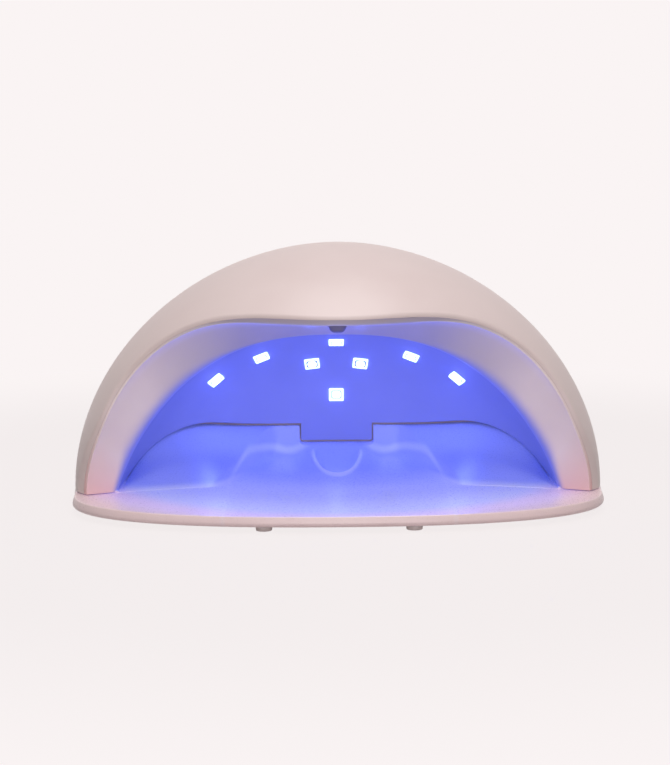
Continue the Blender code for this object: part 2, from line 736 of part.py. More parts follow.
def add_frame_screws(shell, frame, parent, material):
    """Screws up through the base frame into bosses on the shell."""
    number = 0
    head_top = SCREW_HEAD_INSET + SCREW_HEAD_HEIGHT
    for angle in FRAME_SCREW_ANGLES:
        for side in SIDES.values():
            number += 1
            spot = frame_spot(angle, side)
            place = Matrix.Translation(spot)
            outward = spot + spot.normalized() * BOSS_RADIUS
            boss_top = shell_height(outward.x, outward.y, SHELL_WALL) + SHELL_WALL / 2
            boss = rod(BOSS_RADIUS, FRAME_THICKNESS + SEAT_GAP, boss_top, SMALL_SIDES)
            combine(shell, f"boss_{number}", boss, parent, place, "UNION")
            pilot = turned([
                (SCREW_HEAD_RADIUS + SCREW_GAP, -CUT_MARGIN),
                (SCREW_HEAD_RADIUS + SCREW_GAP, head_top + SCREW_GAP),
                (SCREW_SHANK_RADIUS + SCREW_GAP, head_top + SCREW_GAP),
                (SCREW_SHANK_RADIUS + SCREW_GAP, head_top + SCREW_LENGTH + SCREW_GAP),
            ], SMALL_SIDES)
            tool = combine(frame, f"screw_hole_{number}", pilot, parent, place, solver=POCKET_SOLVER)
            use_tool(shell, tool, "DIFFERENCE")
            fastener = screw(SCREW_SHANK_RADIUS, SCREW_HEAD_RADIUS, SCREW_HEAD_HEIGHT, SCREW_LENGTH)
            lift = Matrix.Translation((0.0, 0.0, SCREW_HEAD_INSET))
            add_piece(f"frame_screw_{number}", fastener, material, parent, place @ lift)


def led_shape():
    """Square package with a domed lens, its base behind the bowl's wall."""
    back = -BOWL_WALL - LED_BOARD_RELIEF + SEAT_GAP
    lens = LED_LENS_RADIUS
    top = LED_PROUD + LED_LENS_HEIGHT
    half = LED_LENS_HEIGHT * math.sqrt(0.5)
    return loft([
        rectangle(LED_HALF_WIDTH, LED_HALF_LENGTH, back, SMALL_SIDES),
        rectangle(LED_HALF_WIDTH, LED_HALF_LENGTH, LED_PROUD, SMALL_SIDES),
        circle(lens, LED_PROUD, SMALL_SIDES),
        circle(lens * math.sqrt(0.75), LED_PROUD + half, SMALL_SIDES),
        circle(lens / 2, top, SMALL_SIDES),
    ])


def led_places():
    """Placing matrix of each UV lamp on the bowl, Z into the hollow."""
    heart = Vector((0.0, 0.0, BOWL_HEIGHT / 2))
    places = {}
    for name, (depth_angle, arch_angle) in LED_SPOTS.items():
        if math.isclose(arch_angle, math.pi / 2):
            places[name] = surface_frame(bowl_point, depth_angle, arch_angle, heart)
            continue
        for side_name, side in SIDES.items():
            arch = math.pi / 2 - side * (math.pi / 2 - arch_angle)
            places[f"{name}_{side_name}"] = surface_frame(bowl_point, depth_angle, arch, heart)
    return places


def add_leds(bowl, parent, led_material, board_material):
    """UV lamps in windows of the bowl, each on its own board."""
    board_top = -BOWL_WALL - LED_BOARD_RELIEF
    reach = LED_BOARD_HALF_WIDTH
    for name, place in led_places().items():
        add_piece(f"led_{name}", led_shape(), led_material, parent, place)
        board = block(
            (-LED_BOARD_HALF_WIDTH, -LED_BOARD_HALF_LENGTH, board_top - LED_BOARD_THICKNESS),
            (LED_BOARD_HALF_WIDTH, LED_BOARD_HALF_LENGTH, board_top),
        )
        add_piece(f"led_board_{name}", board, board_material, parent, place)
        window = block(
            (-LED_HALF_WIDTH - SEAT_GAP, -LED_HALF_LENGTH - SEAT_GAP, -reach),
            (LED_HALF_WIDTH + SEAT_GAP, LED_HALF_LENGTH + SEAT_GAP, reach),
        )
        combine(bowl, f"led_window_{name}", window, parent, place)


def add_sensor(bezel, parent, lens_material, board_material):
    """Dark sensor lens through the bezel's roof, with its board above."""
    below = Vector((0.0, -MOUTH_SIDE_REACH, 0.0))
    place = surface_frame(bezel_point, SENSOR_SHARE, math.pi / 2, below)
    flange_front = -BEZEL_WALL - SEAT_GAP
    flange_back = flange_front - SENSOR_FLANGE_THICKNESS
    lens = turned([
        (SENSOR_FLANGE_RADIUS, flange_back),
        (SENSOR_FLANGE_RADIUS, flange_front),
        (SENSOR_RADIUS, flange_front),
        (SENSOR_RADIUS, SENSOR_PROUD / 2),
        (SENSOR_RADIUS * math.sqrt(0.75), SENSOR_PROUD),
    ], FINE_SIDES)
    add_piece("sensor_window", lens, lens_material, parent, place)
    hole = rod(SENSOR_RADIUS + SEAT_GAP, -CUT_MARGIN, CUT_MARGIN)
    combine(bezel, "sensor_hole", hole, parent, place)
    board_front = flange_back - SEAT_GAP
    board = block(
        (-SENSOR_BOARD_HALF_WIDTH, -SENSOR_BOARD_HALF_LENGTH, board_front - SENSOR_BOARD_THICKNESS),
        (SENSOR_BOARD_HALF_WIDTH, SENSOR_BOARD_HALF_LENGTH, board_front),
    )
    add_piece("sensor_board", board, board_material, parent, place)


# Control panel, in its own tilted frame

def shell_frame(x, y):
    """Placing matrix on the dome over a point in plan, Z out of the dome."""
    def surface(u, v):
        return Vector((u, v, shell_height(u, v)))
    origin = surface(x, y)
    along = surface(x, y + PROBE) - surface(x, y - PROBE)
    across = surface(x + PROBE, y) - surface(x - PROBE, y)
    return frame_from(origin, across.cross(along), across)


PANEL_PLACE = shell_frame(0.0, PANEL_SET_BACK)


def panel_depth(x, y, inset=0.0):
    """Height of the dome's surface over a point of the panel's plane."""
    def under_surface(height):
        point = PANEL_PLACE @ Vector((x, y, height))
        return shell_height(point.x, point.y, inset) - point.z
    return solve(under_surface, -SHELL_HEIGHT / 2, SHELL_HEIGHT / 2)


def add_control_board(shell, panel, board_material, screw_material):
    """Board on two posts under the panel, held by screws from below."""
    top = -BOARD_DEPTH
    under = top - BOARD_THICKNESS
    board = add_piece("control_board", block(
        (-BOARD_HALF_WIDTH, -BOARD_HALF_LENGTH, under),
        (BOARD_HALF_WIDTH, BOARD_HALF_LENGTH, top),
    ), board_material, panel)
    for name, side in SIDES.items():
        place = Matrix.Translation((side * POST_X, POST_Y, 0.0))
        post_top = panel_depth(side * POST_X, POST_Y, SHELL_WALL) + SHELL_WALL / 2
        post = rod(POST_RADIUS, top + SEAT_GAP, post_top, SMALL_SIDES)
        combine(shell, f"post_{name}", post, panel, place, "UNION")
        pilot_radius = BOARD_SCREW_SHANK_RADIUS + SCREW_GAP
        pilot_top = under - SEAT_GAP + BOARD_SCREW_LENGTH + SCREW_GAP
        pilot = rod(pilot_radius, under - CUT_MARGIN, pilot_top, SMALL_SIDES)
        tool = combine(shell, f"post_hole_{name}", pilot, panel, place)
        use_tool(board, tool, "DIFFERENCE")
        fastener = screw(
            BOARD_SCREW_SHANK_RADIUS, BOARD_SCREW_HEAD_RADIUS, BOARD_SCREW_HEAD_HEIGHT, BOARD_SCREW_LENGTH
        )
        drop = Matrix.Translation((0.0, 0.0, under - SEAT_GAP - BOARD_SCREW_HEAD_HEIGHT))
        add_piece(f"board_screw_{name}", fastener, screw_material, panel, place @ drop)


def add_display(shell, panel, window_material, module_material):
    """Window flush with the dome and the display under it."""
    place = Matrix.Translation((0.0, DISPLAY_Y, 0.0))
    opening = rounded_rectangle(
        DISPLAY_HALF_WIDTH + SEAT_GAP, DISPLAY_HALF_LENGTH + SEAT_GAP, DISPLAY_CORNER + SEAT_GAP
    )
    combine(shell, "display_opening", prism(opening, -BOARD_DEPTH / 2, CUT_MARGIN), panel, place)
    window = add_piece("display_window", shell_body(), window_material, shell.parent)
    lens = rounded_rectangle(DISPLAY_HALF_WIDTH, DISPLAY_HALF_LENGTH, DISPLAY_CORNER)
    shape = prism(lens, -BOARD_DEPTH / 2, CUT_MARGIN)
    combine(window, "display_lens", shape, panel, place, "INTERSECT")
    half_width = DISPLAY_HALF_WIDTH - DISPLAY_MODULE_BORDER
    half_length = DISPLAY_HALF_LENGTH - DISPLAY_MODULE_BORDER
    ceiling = min(
        panel_depth(half_width, DISPLAY_Y + step * half_length, SHELL_WALL) for step in (-1, 1)
    )
    module = block(
        (-half_width, -half_length, -BOARD_DEPTH + SEAT_GAP),
        (half_width, half_length, ceiling - DISPLAY_MODULE_CLEARANCE),
    )
    add_piece("display_module", module, module_material, panel, place)


def add_buttons(shell, panel, button_material, switch_material):
    """Three timer buttons in holes of the dome, each over its switch on the board."""
    board_top = -BOARD_DEPTH + SEAT_GAP
    switch_top = board_top + SWITCH_HEIGHT
    bore = BUTTON_STEM_RADIUS + SLIDE_GAP
    for step, name in enumerate(("30", "60", "99")):
        x = (step - 1) * BUTTON_PITCH
        place = Matrix.Translation((x, BUTTON_Y, 0.0))
        hole = rod(BUTTON_RADIUS + SLIDE_GAP, -BOARD_DEPTH / 2, CUT_MARGIN)
        combine(shell, f"button_hole_{name}", hole, panel, place)
        flange = BUTTON_RADIUS + SLIDE_GAP + BUTTON_FLANGE_WIDTH
        rim = [(x + dx, BUTTON_Y + dy) for dx, dy, _ in circle(flange, 0.0, SMALL_SIDES)]
        flange_top = min(panel_depth(px, py, SHELL_WALL) for px, py in rim) - SEAT_GAP
        top = panel_depth(x, BUTTON_Y) + BUTTON_PROUD
        cap = turned([
            (BUTTON_STEM_RADIUS, switch_top - SWITCH_STEM_OVERLAP),
            (BUTTON_STEM_RADIUS, flange_top - BUTTON_FLANGE_THICKNESS),
            (flange, flange_top - BUTTON_FLANGE_THICKNESS),
            (flange, flange_top),
            (BUTTON_RADIUS, flange_top),
            (BUTTON_RADIUS, top - BUTTON_CROWN),
            (BUTTON_RADIUS - BUTTON_CROWN, top),
        ], FINE_SIDES)
        add_piece(f"timer_{name}_button", cap, button_material, panel, place)
        housing = loft([
            rectangle(SWITCH_HALF_WIDTH, SWITCH_HALF_WIDTH, board_top, SMALL_SIDES),
            rectangle(SWITCH_HALF_WIDTH, SWITCH_HALF_WIDTH, switch_top, SMALL_SIDES),
            circle(bore, switch_top, SMALL_SIDES),
            circle(bore, board_top + SWITCH_FLOOR, SMALL_SIDES),
        ])
        add_piece(f"timer_{name}_switch", housing, switch_material, panel, place)


# DC inlet and vents at the back of the shell

def add_inlet(shell, parent, body_material, nut_material):
    """Round DC inlet through the back of the shell, held by a nut inside."""
    back_y = SHELL_DEPTH * round_off(INLET_HEIGHT / SHELL_HEIGHT, SHELL_ROUNDNESS)
    place = shell_frame(0.0, back_y)
    barrel_end = -INLET_BARREL_LENGTH
    flange_low = SEAT_GAP
    flange_high = flange_low + INLET_FLANGE_THICKNESS
    bore_floor = flange_high - INLET_BORE_DEPTH
    body = turned([
        (INLET_BARREL_RADIUS, barrel_end),
        (INLET_BARREL_RADIUS, flange_low),
        (INLET_FLANGE_RADIUS, flange_low),
        (INLET_FLANGE_RADIUS, flange_high),
        (INLET_BORE_RADIUS, flange_high),
        (INLET_BORE_RADIUS, bore_floor),
        (INLET_PIN_RADIUS, bore_floor),
        (INLET_PIN_RADIUS, flange_high - INLET_PIN_SETBACK),
    ], FINE_SIDES)
    add_piece("dc_inlet", body, body_material, parent, place)
    hole = rod(INLET_BARREL_RADIUS + SEAT_GAP, barrel_end, CUT_MARGIN)
    tool = combine(shell, "inlet_hole", hole, parent, place)
    nut_face = -SHELL_WALL - SEAT_GAP - SEAT_GAP
    nut_shape = rod(INLET_NUT_RADIUS, nut_face - INLET_NUT_THICKNESS, nut_face, INLET_NUT_SIDES)
    nut = add_piece("inlet_nut", nut_shape, nut_material, parent, place)
    use_tool(nut, tool, "DIFFERENCE")


def add_vents(shell, parent):
    """Row of upright slots through the back of the shell."""
    top = VENT_FOOT_HEIGHT + VENT_LENGTH
    front = SHELL_DEPTH / 2
    for step in range(VENT_COUNT):
        x = (step - (VENT_COUNT - 1) / 2) * VENT_PITCH
        slot = block(
            (x - VENT_WIDTH / 2, front, VENT_FOOT_HEIGHT),
            (x + VENT_WIDTH / 2, SHELL_DEPTH + CUT_MARGIN, top),
        )
        combine(shell, f"vent_{step}", slot, parent)


def main():
    """Build the tray, the lamp head and its control panel."""
    for stale in list(bpy.data.objects):
        bpy.data.objects.remove(stale)

    blush = plastic("blush_shell_plastic", (0.80, 0.66, 0.64), 0.38)
    tray_blush = plastic("blush_tray_plastic", (0.82, 0.68, 0.66), 0.34)
    bezel_blush = plastic("blush_bezel_plastic", (0.78, 0.64, 0.63), 0.4)
    reflector = plastic("white_reflector_plastic", (0.85, 0.80, 0.82), 0.3)
    frame_blush = plastic("blush_frame_plastic", (0.76, 0.62, 0.61), 0.5)
    foot_rubber = plastic("pale_foot_rubber", (0.74, 0.62, 0.60), 0.7)
    lamp_white = plastic("lamp_epoxy", (0.92, 0.92, 0.95), 0.2)
    board_white = plastic("lamp_board_metal", (0.80, 0.81, 0.80), 0.45, 0.3)
    board_green = plastic("circuit_board", (0.02, 0.16, 0.06), 0.5)
    smoke = plastic("smoked_window", (0.05, 0.045, 0.08), 0.15)
    display_grey = plastic("display_grey", (0.32, 0.36, 0.34), 0.4)
    button_blush = plastic("blush_button_plastic", (0.85, 0.73, 0.71), 0.35)
    switch_black = plastic("switch_black", (0.02, 0.02, 0.02), 0.5)
    inlet_black = plastic("inlet_black", (0.025, 0.025, 0.027), 0.45)
    steel = plastic("bright_steel", (0.56, 0.56, 0.57), 0.3, 1.0)
    nickel = plastic("magnet_nickel", (0.62, 0.60, 0.57), 0.25, 1.0)

    tray_origin = add_object("tray_origin", None, None, Matrix.Translation((0.0, DOME_Y, PLATE_TOP)))
    lift = Matrix.Translation((0.0, DOME_Y, PLATE_TOP + SEAT_GAP))
    head_origin = add_object("lamp_head_origin", None, None, lift)
    panel_origin = add_object("panel_origin", None, head_origin, PANEL_PLACE)

    tray = add_tray(tray_origin, tray_blush)
    add_feet(tray, tray_origin, foot_rubber)

    shell = add_piece("outer_shell", shell_body(), blush, head_origin)
    bezel = add_bezel(head_origin, bezel_blush)
    bowl = add_bowl(head_origin, reflector)
    frame = add_frame(head_origin, frame_blush)
    add_magnets(tray, frame, tray_origin, head_origin, nickel, steel)
    add_frame_screws(shell, frame, head_origin, steel)
    add_leds(bowl, head_origin, lamp_white, board_white)
    add_sensor(bezel, head_origin, smoke, board_green)
    add_control_board(shell, panel_origin, board_green, steel)
    add_display(shell, panel_origin, smoke, display_grey)
    add_buttons(shell, panel_origin, button_blush, switch_black)
    add_inlet(shell, head_origin, inlet_black, steel)
    add_vents(shell, head_origin)


main()
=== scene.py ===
"""UV LED nail lamp, dressed and lit: a blush dome over a glowing bowl and a tray for one hand.

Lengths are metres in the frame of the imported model. The dome, the bowl and the bezel follow the formulas of
the solids at a finer step and with rounded edges, and the hand pad has a fuller relief than its solid. Every
piece lies where its solid does.
"""

import json
import logging
import math
from dataclasses import dataclass, field, replace
from enum import Enum
from typing import Any, Callable, Sequence

import bpy
from mathutils import Matrix, Vector

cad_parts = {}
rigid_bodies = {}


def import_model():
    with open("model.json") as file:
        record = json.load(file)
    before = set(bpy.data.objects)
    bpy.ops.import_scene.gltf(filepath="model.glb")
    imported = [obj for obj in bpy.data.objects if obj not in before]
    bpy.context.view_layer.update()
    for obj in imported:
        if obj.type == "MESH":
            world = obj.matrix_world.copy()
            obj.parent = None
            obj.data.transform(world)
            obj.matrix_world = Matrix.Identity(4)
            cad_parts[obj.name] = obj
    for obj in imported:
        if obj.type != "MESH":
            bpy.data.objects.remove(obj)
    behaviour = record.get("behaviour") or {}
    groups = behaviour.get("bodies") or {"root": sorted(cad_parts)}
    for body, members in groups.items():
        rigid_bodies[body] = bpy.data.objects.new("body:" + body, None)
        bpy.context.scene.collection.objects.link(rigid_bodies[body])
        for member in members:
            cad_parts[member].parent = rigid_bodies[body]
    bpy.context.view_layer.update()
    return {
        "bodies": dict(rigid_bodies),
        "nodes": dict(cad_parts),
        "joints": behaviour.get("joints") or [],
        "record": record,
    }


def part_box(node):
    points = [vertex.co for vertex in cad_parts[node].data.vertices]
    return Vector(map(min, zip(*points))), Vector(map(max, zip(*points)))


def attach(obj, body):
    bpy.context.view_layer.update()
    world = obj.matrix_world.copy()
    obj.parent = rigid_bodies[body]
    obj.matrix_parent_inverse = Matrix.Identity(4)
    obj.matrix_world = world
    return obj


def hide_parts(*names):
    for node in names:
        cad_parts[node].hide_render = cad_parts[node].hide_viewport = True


logging.basicConfig(level=logging.INFO, format="%(message)s")
log = logging.getLogger("nail_lamp")

MM = 0.001
WELD = 0.004 * MM
PROBE = 0.05 * MM
MARGIN = 5.0 * MM
SEAT_GAP = 0.3 * MM
DOME_Y = -8.85 * MM
PLATE_TOP = 6.7 * MM
TRAY_PLACE = Matrix.Translation((0.0, DOME_Y, PLATE_TOP))
HEAD_PLACE = Matrix.Translation((0.0, DOME_Y, PLATE_TOP + SEAT_GAP))
# Turns that stand a plan outline up, facing along Y or along X.
UPRIGHT = Matrix(((1, 0, 0, 0), (0, 0, 1, 0), (0, 1, 0, 0), (0, 0, 0, 1)))
SIDEWAYS = Matrix(((0, 0, 1, 0), (1, 0, 0, 0), (0, 1, 0, 0), (0, 0, 0, 1)))
# Halvings that bring a search well below a nanometre.
HALVINGS = 44
# A share that no place on the tray reaches.
FAR_OFF = 100.0
FOOT_NODES = ["foot_front_left", "foot_front_right", "foot_rear_left", "foot_rear_right"]
MAGNET_NODES = [f"tray_magnet_{number}" for number in range(1, 5)]

Piece = bpy.types.Object
Material = bpy.types.Material
Tree = bpy.types.NodeTree
Node = bpy.types.Node
Socket = bpy.types.NodeSocket
Outline = list[tuple[float, float]]
Stops = tuple[tuple[float, float], ...]


class Body(Enum):
    """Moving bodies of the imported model."""

    TRAY = "tray"
    HEAD = "lamp_head"
    BUTTON_30 = "button_30"
    BUTTON_60 = "button_60"
    BUTTON_99 = "button_99"


class Cut(Enum):
    """Ways in which a tool body works on a piece."""

    AWAY = "DIFFERENCE"
    JOIN = "UNION"
    TRIM = "INTERSECT"


# Numbers

def blend(start: float, end: float, share: float) -> float:
    """Value a share of the way from start to end."""
    return start + (end - start) * share


def smooth_step(share: float) -> float:
    """Ease from 0 to 1 with level ends."""
    share = min(1.0, max(0.0, share))
    return share * share * (3 - 2 * share)


def eased(value: float, start: float, length: float) -> float:
    """Ease from 0 at start to 1 a length further on."""
    return smooth_step((value - start) / length)


def quarter(steps: int) -> Outline:
    """Cosine and sine at equal steps of a quarter turn."""
    turns = [math.pi / 2 * step / steps for step in range(steps + 1)]
    return [(math.cos(turn), math.sin(turn)) for turn in turns]


def round_off(share: float, power: float) -> float:
    """Ordinate of a superellipse of unit half-axes at the given abscissa."""
    return max(0.0, 1 - min(1.0, abs(share)) ** power) ** (1 / power)


def solve(function: Callable[[float], float], low: float, high: float) -> float:
    """Find where a falling function crosses zero.

    Args:
        function: Function that is positive at low and not at high.
        low: Start of the range.
        high: End of the range.

    Returns:
        The crossing point.
    """
    for _ in range(HALVINGS):
        middle = (low + high) / 2
        if function(middle) > 0:
            low = middle
        else:
            high = middle
    return (low + high) / 2


def curve(start: Vector, bend: Vector, end: Vector, share: float) -> Vector:
    """Point on a round-over from start to end whose corner is at bend."""
    return start.lerp(bend, share).lerp(bend.lerp(end, share), share)


def frame_from(origin: Vector, outward: Vector, across: Vector) -> Matrix:
    """Placing matrix at a point, turned by two directions.

    Args:
        origin: Place of the point.
        outward: Direction of Z.
        across: Direction that X follows as nearly as Z lets it.

    Returns:
        The placing matrix.
    """
    z_axis = outward.normalized()
    x_axis = (across - z_axis * across.dot(z_axis)).normalized()
    axes = Matrix((x_axis, z_axis.cross(x_axis), z_axis)).transposed()
    return Matrix.Translation(origin) @ axes.to_4x4()


def surface_frame(
    surface: Callable[[float, float], Vector], u: float, v: float, toward: Vector
) -> Matrix:
    """Placing matrix on a surface.

    Args:
        surface: Surface as a function of two parameters.
        u: First parameter of the place.
        v: Second parameter, along which X runs.
        toward: Point on the side that Z faces.

    Returns:
        The placing matrix.
    """
    origin = surface(u, v)
    along = surface(u + PROBE, v) - surface(u - PROBE, v)
    across = surface(u, v - PROBE) - surface(u, v + PROBE)
    outward = along.cross(across)
    if outward.dot(toward - origin) < 0:
        outward.negate()
    return frame_from(origin, outward, across)


# Bench work with Blender's own operators

def clear_selection() -> None:
    """Leave nothing selected, in object mode."""
    bpy.ops.object.select_all(action="DESELECT")


def pick(piece: Piece) -> None:
    """Make one piece the only selected and active one.

    Args:
        piece: Piece to work on.
    """
    clear_selection()
    piece.select_set(True)
    bpy.context.view_layer.objects.active = piece


def close_up(piece: Piece) -> None:
    """Weld a new mesh, cap its open ends and turn its faces outward.

    Args:
        piece: Active piece, in object mode.
    """
    bpy.ops.object.mode_set(mode="EDIT")
    bpy.ops.mesh.select_all(action="SELECT")
    bpy.ops.mesh.remove_doubles(threshold=WELD)
    bpy.ops.mesh.delete_loose(use_verts=True, use_edges=True, use_faces=False)
    bpy.ops.mesh.select_all(action="SELECT")
    bpy.ops.mesh.fill_holes(sides=0)
    bpy.ops.mesh.select_all(action="SELECT")
    bpy.ops.mesh.normals_make_consistent(inside=False)
    bpy.ops.object.mode_set(mode="OBJECT")
    log.debug("%s: %d faces", piece.name, len(piece.data.polygons))


def lattice(name: str, point: Callable[[int, int], Vector], columns: int, rows: int) -> Piece:
    """Double-curved moulding: a grid carried onto a formula, then welded and capped.

    Args:
        name: Name of the piece.
        point: Place of the grid point at a column and a row.
        columns: Number of spaces across the grid.
        rows: Number of spaces along the grid.

    Returns:
        The closed piece.
    """
    clear_selection()
    bpy.ops.mesh.primitive_grid_add(x_subdivisions=columns, y_subdivisions=rows, size=2)
    piece = bpy.context.object
    piece.name = piece.data.name = name
    for vertex in piece.data.vertices:
        column = round((vertex.co.x + 1) / 2 * columns)
        row = round((vertex.co.y + 1) / 2 * rows)
        vertex.co = point(column, row)
    close_up(piece)
    return piece


def arched(name: str, section: Callable[[float], list[Vector]], columns: int) -> Piece:
    """Walled moulding of the head, whose section is carried over the arch in equal steps."""
    sections = [section(math.pi * column / columns) for column in range(columns + 1)]
    return lattice(name, lambda j, i: HEAD_PLACE @ sections[j][i], columns, len(sections[0]) - 1)


def stacked(name: str, loops: list[Outline], heights: list[float], place: Matrix) -> Piece:
    """Moulding built up from level loops.

    Args:
        name: Name of the piece.
        loops: Outlines with the same number of points, from the bottom up.
        heights: Height of each outline.
        place: Placing matrix.

    Returns:
        The closed piece.
    """
    def point(column: int, row: int) -> Vector:
        """Point of a level's loop."""
        x, y = loops[row][column % len(loops[row])]
        return place @ Vector((x, y, heights[row]))

    return lattice(name, point, len(loops[0]), len(loops) - 1)


def raised(name: str, outline: Outline, low: float, high: float, place: Matrix) -> Piece:
    """Plan outline extruded between two heights and carried to its place.

    Args:
        name: Name of the piece.
        outline: Points of the outline in turn.
        low: Height of the lower face.
        high: Height of the upper face.
        place: Placing matrix.

    Returns:
        The prism.
    """
    clear_selection()
    bpy.ops.mesh.primitive_circle_add(vertices=len(outline), fill_type="NGON")
    piece = bpy.context.object
    piece.name = piece.data.name = name
    for vertex, (x, y) in zip(piece.data.vertices, outline):
        vertex.co = (x, y, low)
    bpy.ops.object.mode_set(mode="EDIT")
    bpy.ops.mesh.extrude_region_move(TRANSFORM_OT_translate={"value": (0.0, 0.0, high - low)})
    bpy.ops.object.mode_set(mode="OBJECT")
    piece.data.transform(place)
    close_up(piece)
    return piece


def turned(name: str, profile: Sequence[tuple[float, float]], sides: int, place: Matrix) -> Piece:
    """Turned piece: a disc extruded and resized from level to level.

    Args:
        name: Name of the piece.
        profile: Radius and height of each level.
        sides: Number of sides.
        place: Placing matrix, Z along the turning axis.

    Returns:
        The closed piece.
    """
    clear_selection()
    radius, height = profile[0]
    bpy.ops.mesh.primitive_circle_add(vertices=sides, radius=radius, fill_type="NGON")
    piece = bpy.context.object
    piece.name = piece.data.name = name
    bpy.ops.object.mode_set(mode="EDIT")
    bpy.ops.transform.translate(value=(0.0, 0.0, height))
    for next_radius, next_height in profile[1:]:
        step = next_height - height
        bpy.ops.mesh.extrude_region_move(TRANSFORM_OT_translate={"value": (0.0, 0.0, step)})
        scale = next_radius / radius
        bpy.ops.transform.resize(value=(scale, scale, 1.0), center_override=(0.0, 0.0, next_height))
        radius, height = next_radius, next_height
    bpy.ops.object.mode_set(mode="OBJECT")
    piece.data.transform(place)
    close_up(piece)
    return piece


def rounded_rectangle(half_width: float, half_length: float, corner: float, steps: int = 8) -> Outline:
    """Outline of a rectangle with round corners.

    Args:
        half_width: Half of its size in X.
        half_length: Half of its size in Y.
        corner: Radius of its corners.
        steps: Steps round each corner.

    Returns:
        Points of the outline in turn.
    """
    points = []
    for turns, (x, y) in enumerate(((1, 1), (-1, 1), (-1, -1), (1, -1))):
        for step in range(steps + 1):
            angle = math.pi / 2 * (turns + step / steps)
            points.append((
                x * (half_width - corner) + corner * math.cos(angle),
                y * (half_length - corner) + corner * math.sin(angle),
            ))
    return points


def fuse(pieces: list[Piece]) -> Piece:
    """Join separate bodies into one object.

    Args:
        pieces: Bodies, the first of which gives its name.

    Returns:
        The joined object.
    """
    pick(pieces[0])
    for piece in pieces[1:]:
        piece.select_set(True)
    bpy.ops.object.join()
    return bpy.context.object


def combine(piece: Piece, tool: Piece, cut: Cut = Cut.AWAY) -> None:
    """Cut, join or trim a piece with a tool body, which is then cleared away.

    Args:
        piece: Piece to work on.
        tool: Tool body.
        cut: What the tool does.
    """
    pick(piece)
    step = piece.modifiers.new("combine", "BOOLEAN")
    step.operation = cut.value
    step.solver = "EXACT"
    step.object = tool
    bpy.ops.object.modifier_apply(modifier=step.name)
    bpy.data.objects.remove(tool)


def smooth(piece: Piece, degrees: float = 32.0) -> None:
    """Smooth shading that keeps edges sharper than the angle."""
    pick(piece)
    bpy.ops.object.shade_smooth_by_angle(angle=math.radians(degrees))


def seat(piece: Piece, body: Body, slot: str, *nodes: str) -> Piece:
    """Put a finished piece on its body and in place of its solids.

    Args:
        piece: Finished piece.
        body: Body it rides on.
        slot: Record's material slot, not used.
        nodes: Solids that it stands for.

    Returns:
        The same piece.
    """
    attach(piece, body.value)
    if nodes:
        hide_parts(*nodes)
    log.info("%s: %d faces on %s", piece.name, len(piece.data.polygons), body.value)
    return piece


def dress(piece: Piece, *materials: Material) -> None:
    """Give a piece its materials, the first on every face that has no other.

    Args:
        piece: Piece to dress.
        materials: Materials in the order of the face indices.
    """
    if piece.data.materials:
        piece.data.materials.clear()
    for material in materials:
        piece.data.materials.append(material)


def complete(piece: Piece, material: Material, body: Body, slot: str, *nodes: str) -> Piece:
    """Shade, dress and seat a piece of one material.

    Args:
        piece: Piece in its final shape.
        material: Its material.
        body: Body it rides on.
        slot: Record's material slot.
        nodes: Solids that it stands for.

    Returns:
        The same piece.
    """
    smooth(piece)
    dress(piece, material)
    return seat(piece, body, slot, *nodes)


# Finishes

def linear(colour: str) -> tuple[float, float, float, float]:
    """Linear colour of an sRGB hex value.

    Args:
        colour: Six hex digits.

    Returns:
        Red, green, blue and full cover.
    """
    channels = [int(colour[start:start + 2], 16) / 255 for start in (0, 2, 4)]
    shades = [c / 12.92 if c <= 0.04045 else ((c + 0.055) / 1.055) ** 2.4 for c in channels]
    return (*shades, 1.0)


def add_node(
    tree: Tree, kind: str, settings: dict[Any, Any] | None = None, links: dict[Any, Socket] | None = None
) -> Node:
    """Add a node with its settings and links.

    Args:
        tree: Node tree that takes it.
        kind: Type of the node.
        settings: Values by property name, or by input name or number. Under "stops" are a ramp's
            places, each with a grey level or a linear colour.
        links: Output sockets by the name or number of the input they feed.

    Returns:
        The node.
    """
    node = tree.nodes.new(kind)
    for key, value in (settings or {}).items():
        if key == "stops":
            elements = node.color_ramp.elements
            while len(elements) < len(value):
                elements.new(1.0)
            for element, (position, shade) in zip(elements, value):
                element.position = position
                element.color = shade if isinstance(shade, tuple) else (shade, shade, shade, 1.0)
        elif isinstance(key, str) and hasattr(node, key):
            setattr(node, key, value)
        else:
            node.inputs[key].default_value = value
    for key, socket in (links or {}).items():
        tree.links.new(socket, node.inputs[key])
    return node


def product(tree: Tree, first: Socket, second: Socket) -> Socket:
    """Socket of two shares multiplied."""
    return add_node(tree, "ShaderNodeMath", {"operation": "MULTIPLY"}, {0: first, 1: second}).outputs[0]


def ramp(tree: Tree, along: Socket, stops: Sequence[tuple[float, Any]], easing: str = "LINEAR") -> Socket:
    """Socket of the shade that a ramp's stops give to a value.

    Args:
        tree: Node tree to add to.
        along: Value that runs along the ramp.
        stops: Places on the ramp, each with a grey level or a linear colour.
        easing: How the ramp runs between them.

    Returns:
        Socket of the shade.
    """
    node = add_node(tree, "ShaderNodeValToRGB", {"stops": stops}, {"Fac": along})
    node.color_ramp.interpolation = easing
    return node.outputs["Color"]


def mapped(
    tree: Tree, value: Socket, span: tuple[float, float], onto: tuple[float, float] = (0.0, 1.0),
    easing: str = "LINEAR",
) -> Socket:
    """Socket of a value carried from one span onto another, and held at its ends.

    Args:
        tree: Node tree to add to.
        value: Value to carry over.
        span: Its start and end.
        onto: What the start and the end become.
        easing: How it runs between them.

    Returns:
        Socket of the result.
    """
    ends = {"From Min": span[0], "From Max": span[1], "To Min": onto[0], "To Max": onto[1]}
    node = add_node(tree, "ShaderNodeMapRange", {"interpolation_type": easing, **ends}, {"Value": value})
    return node.outputs["Result"]


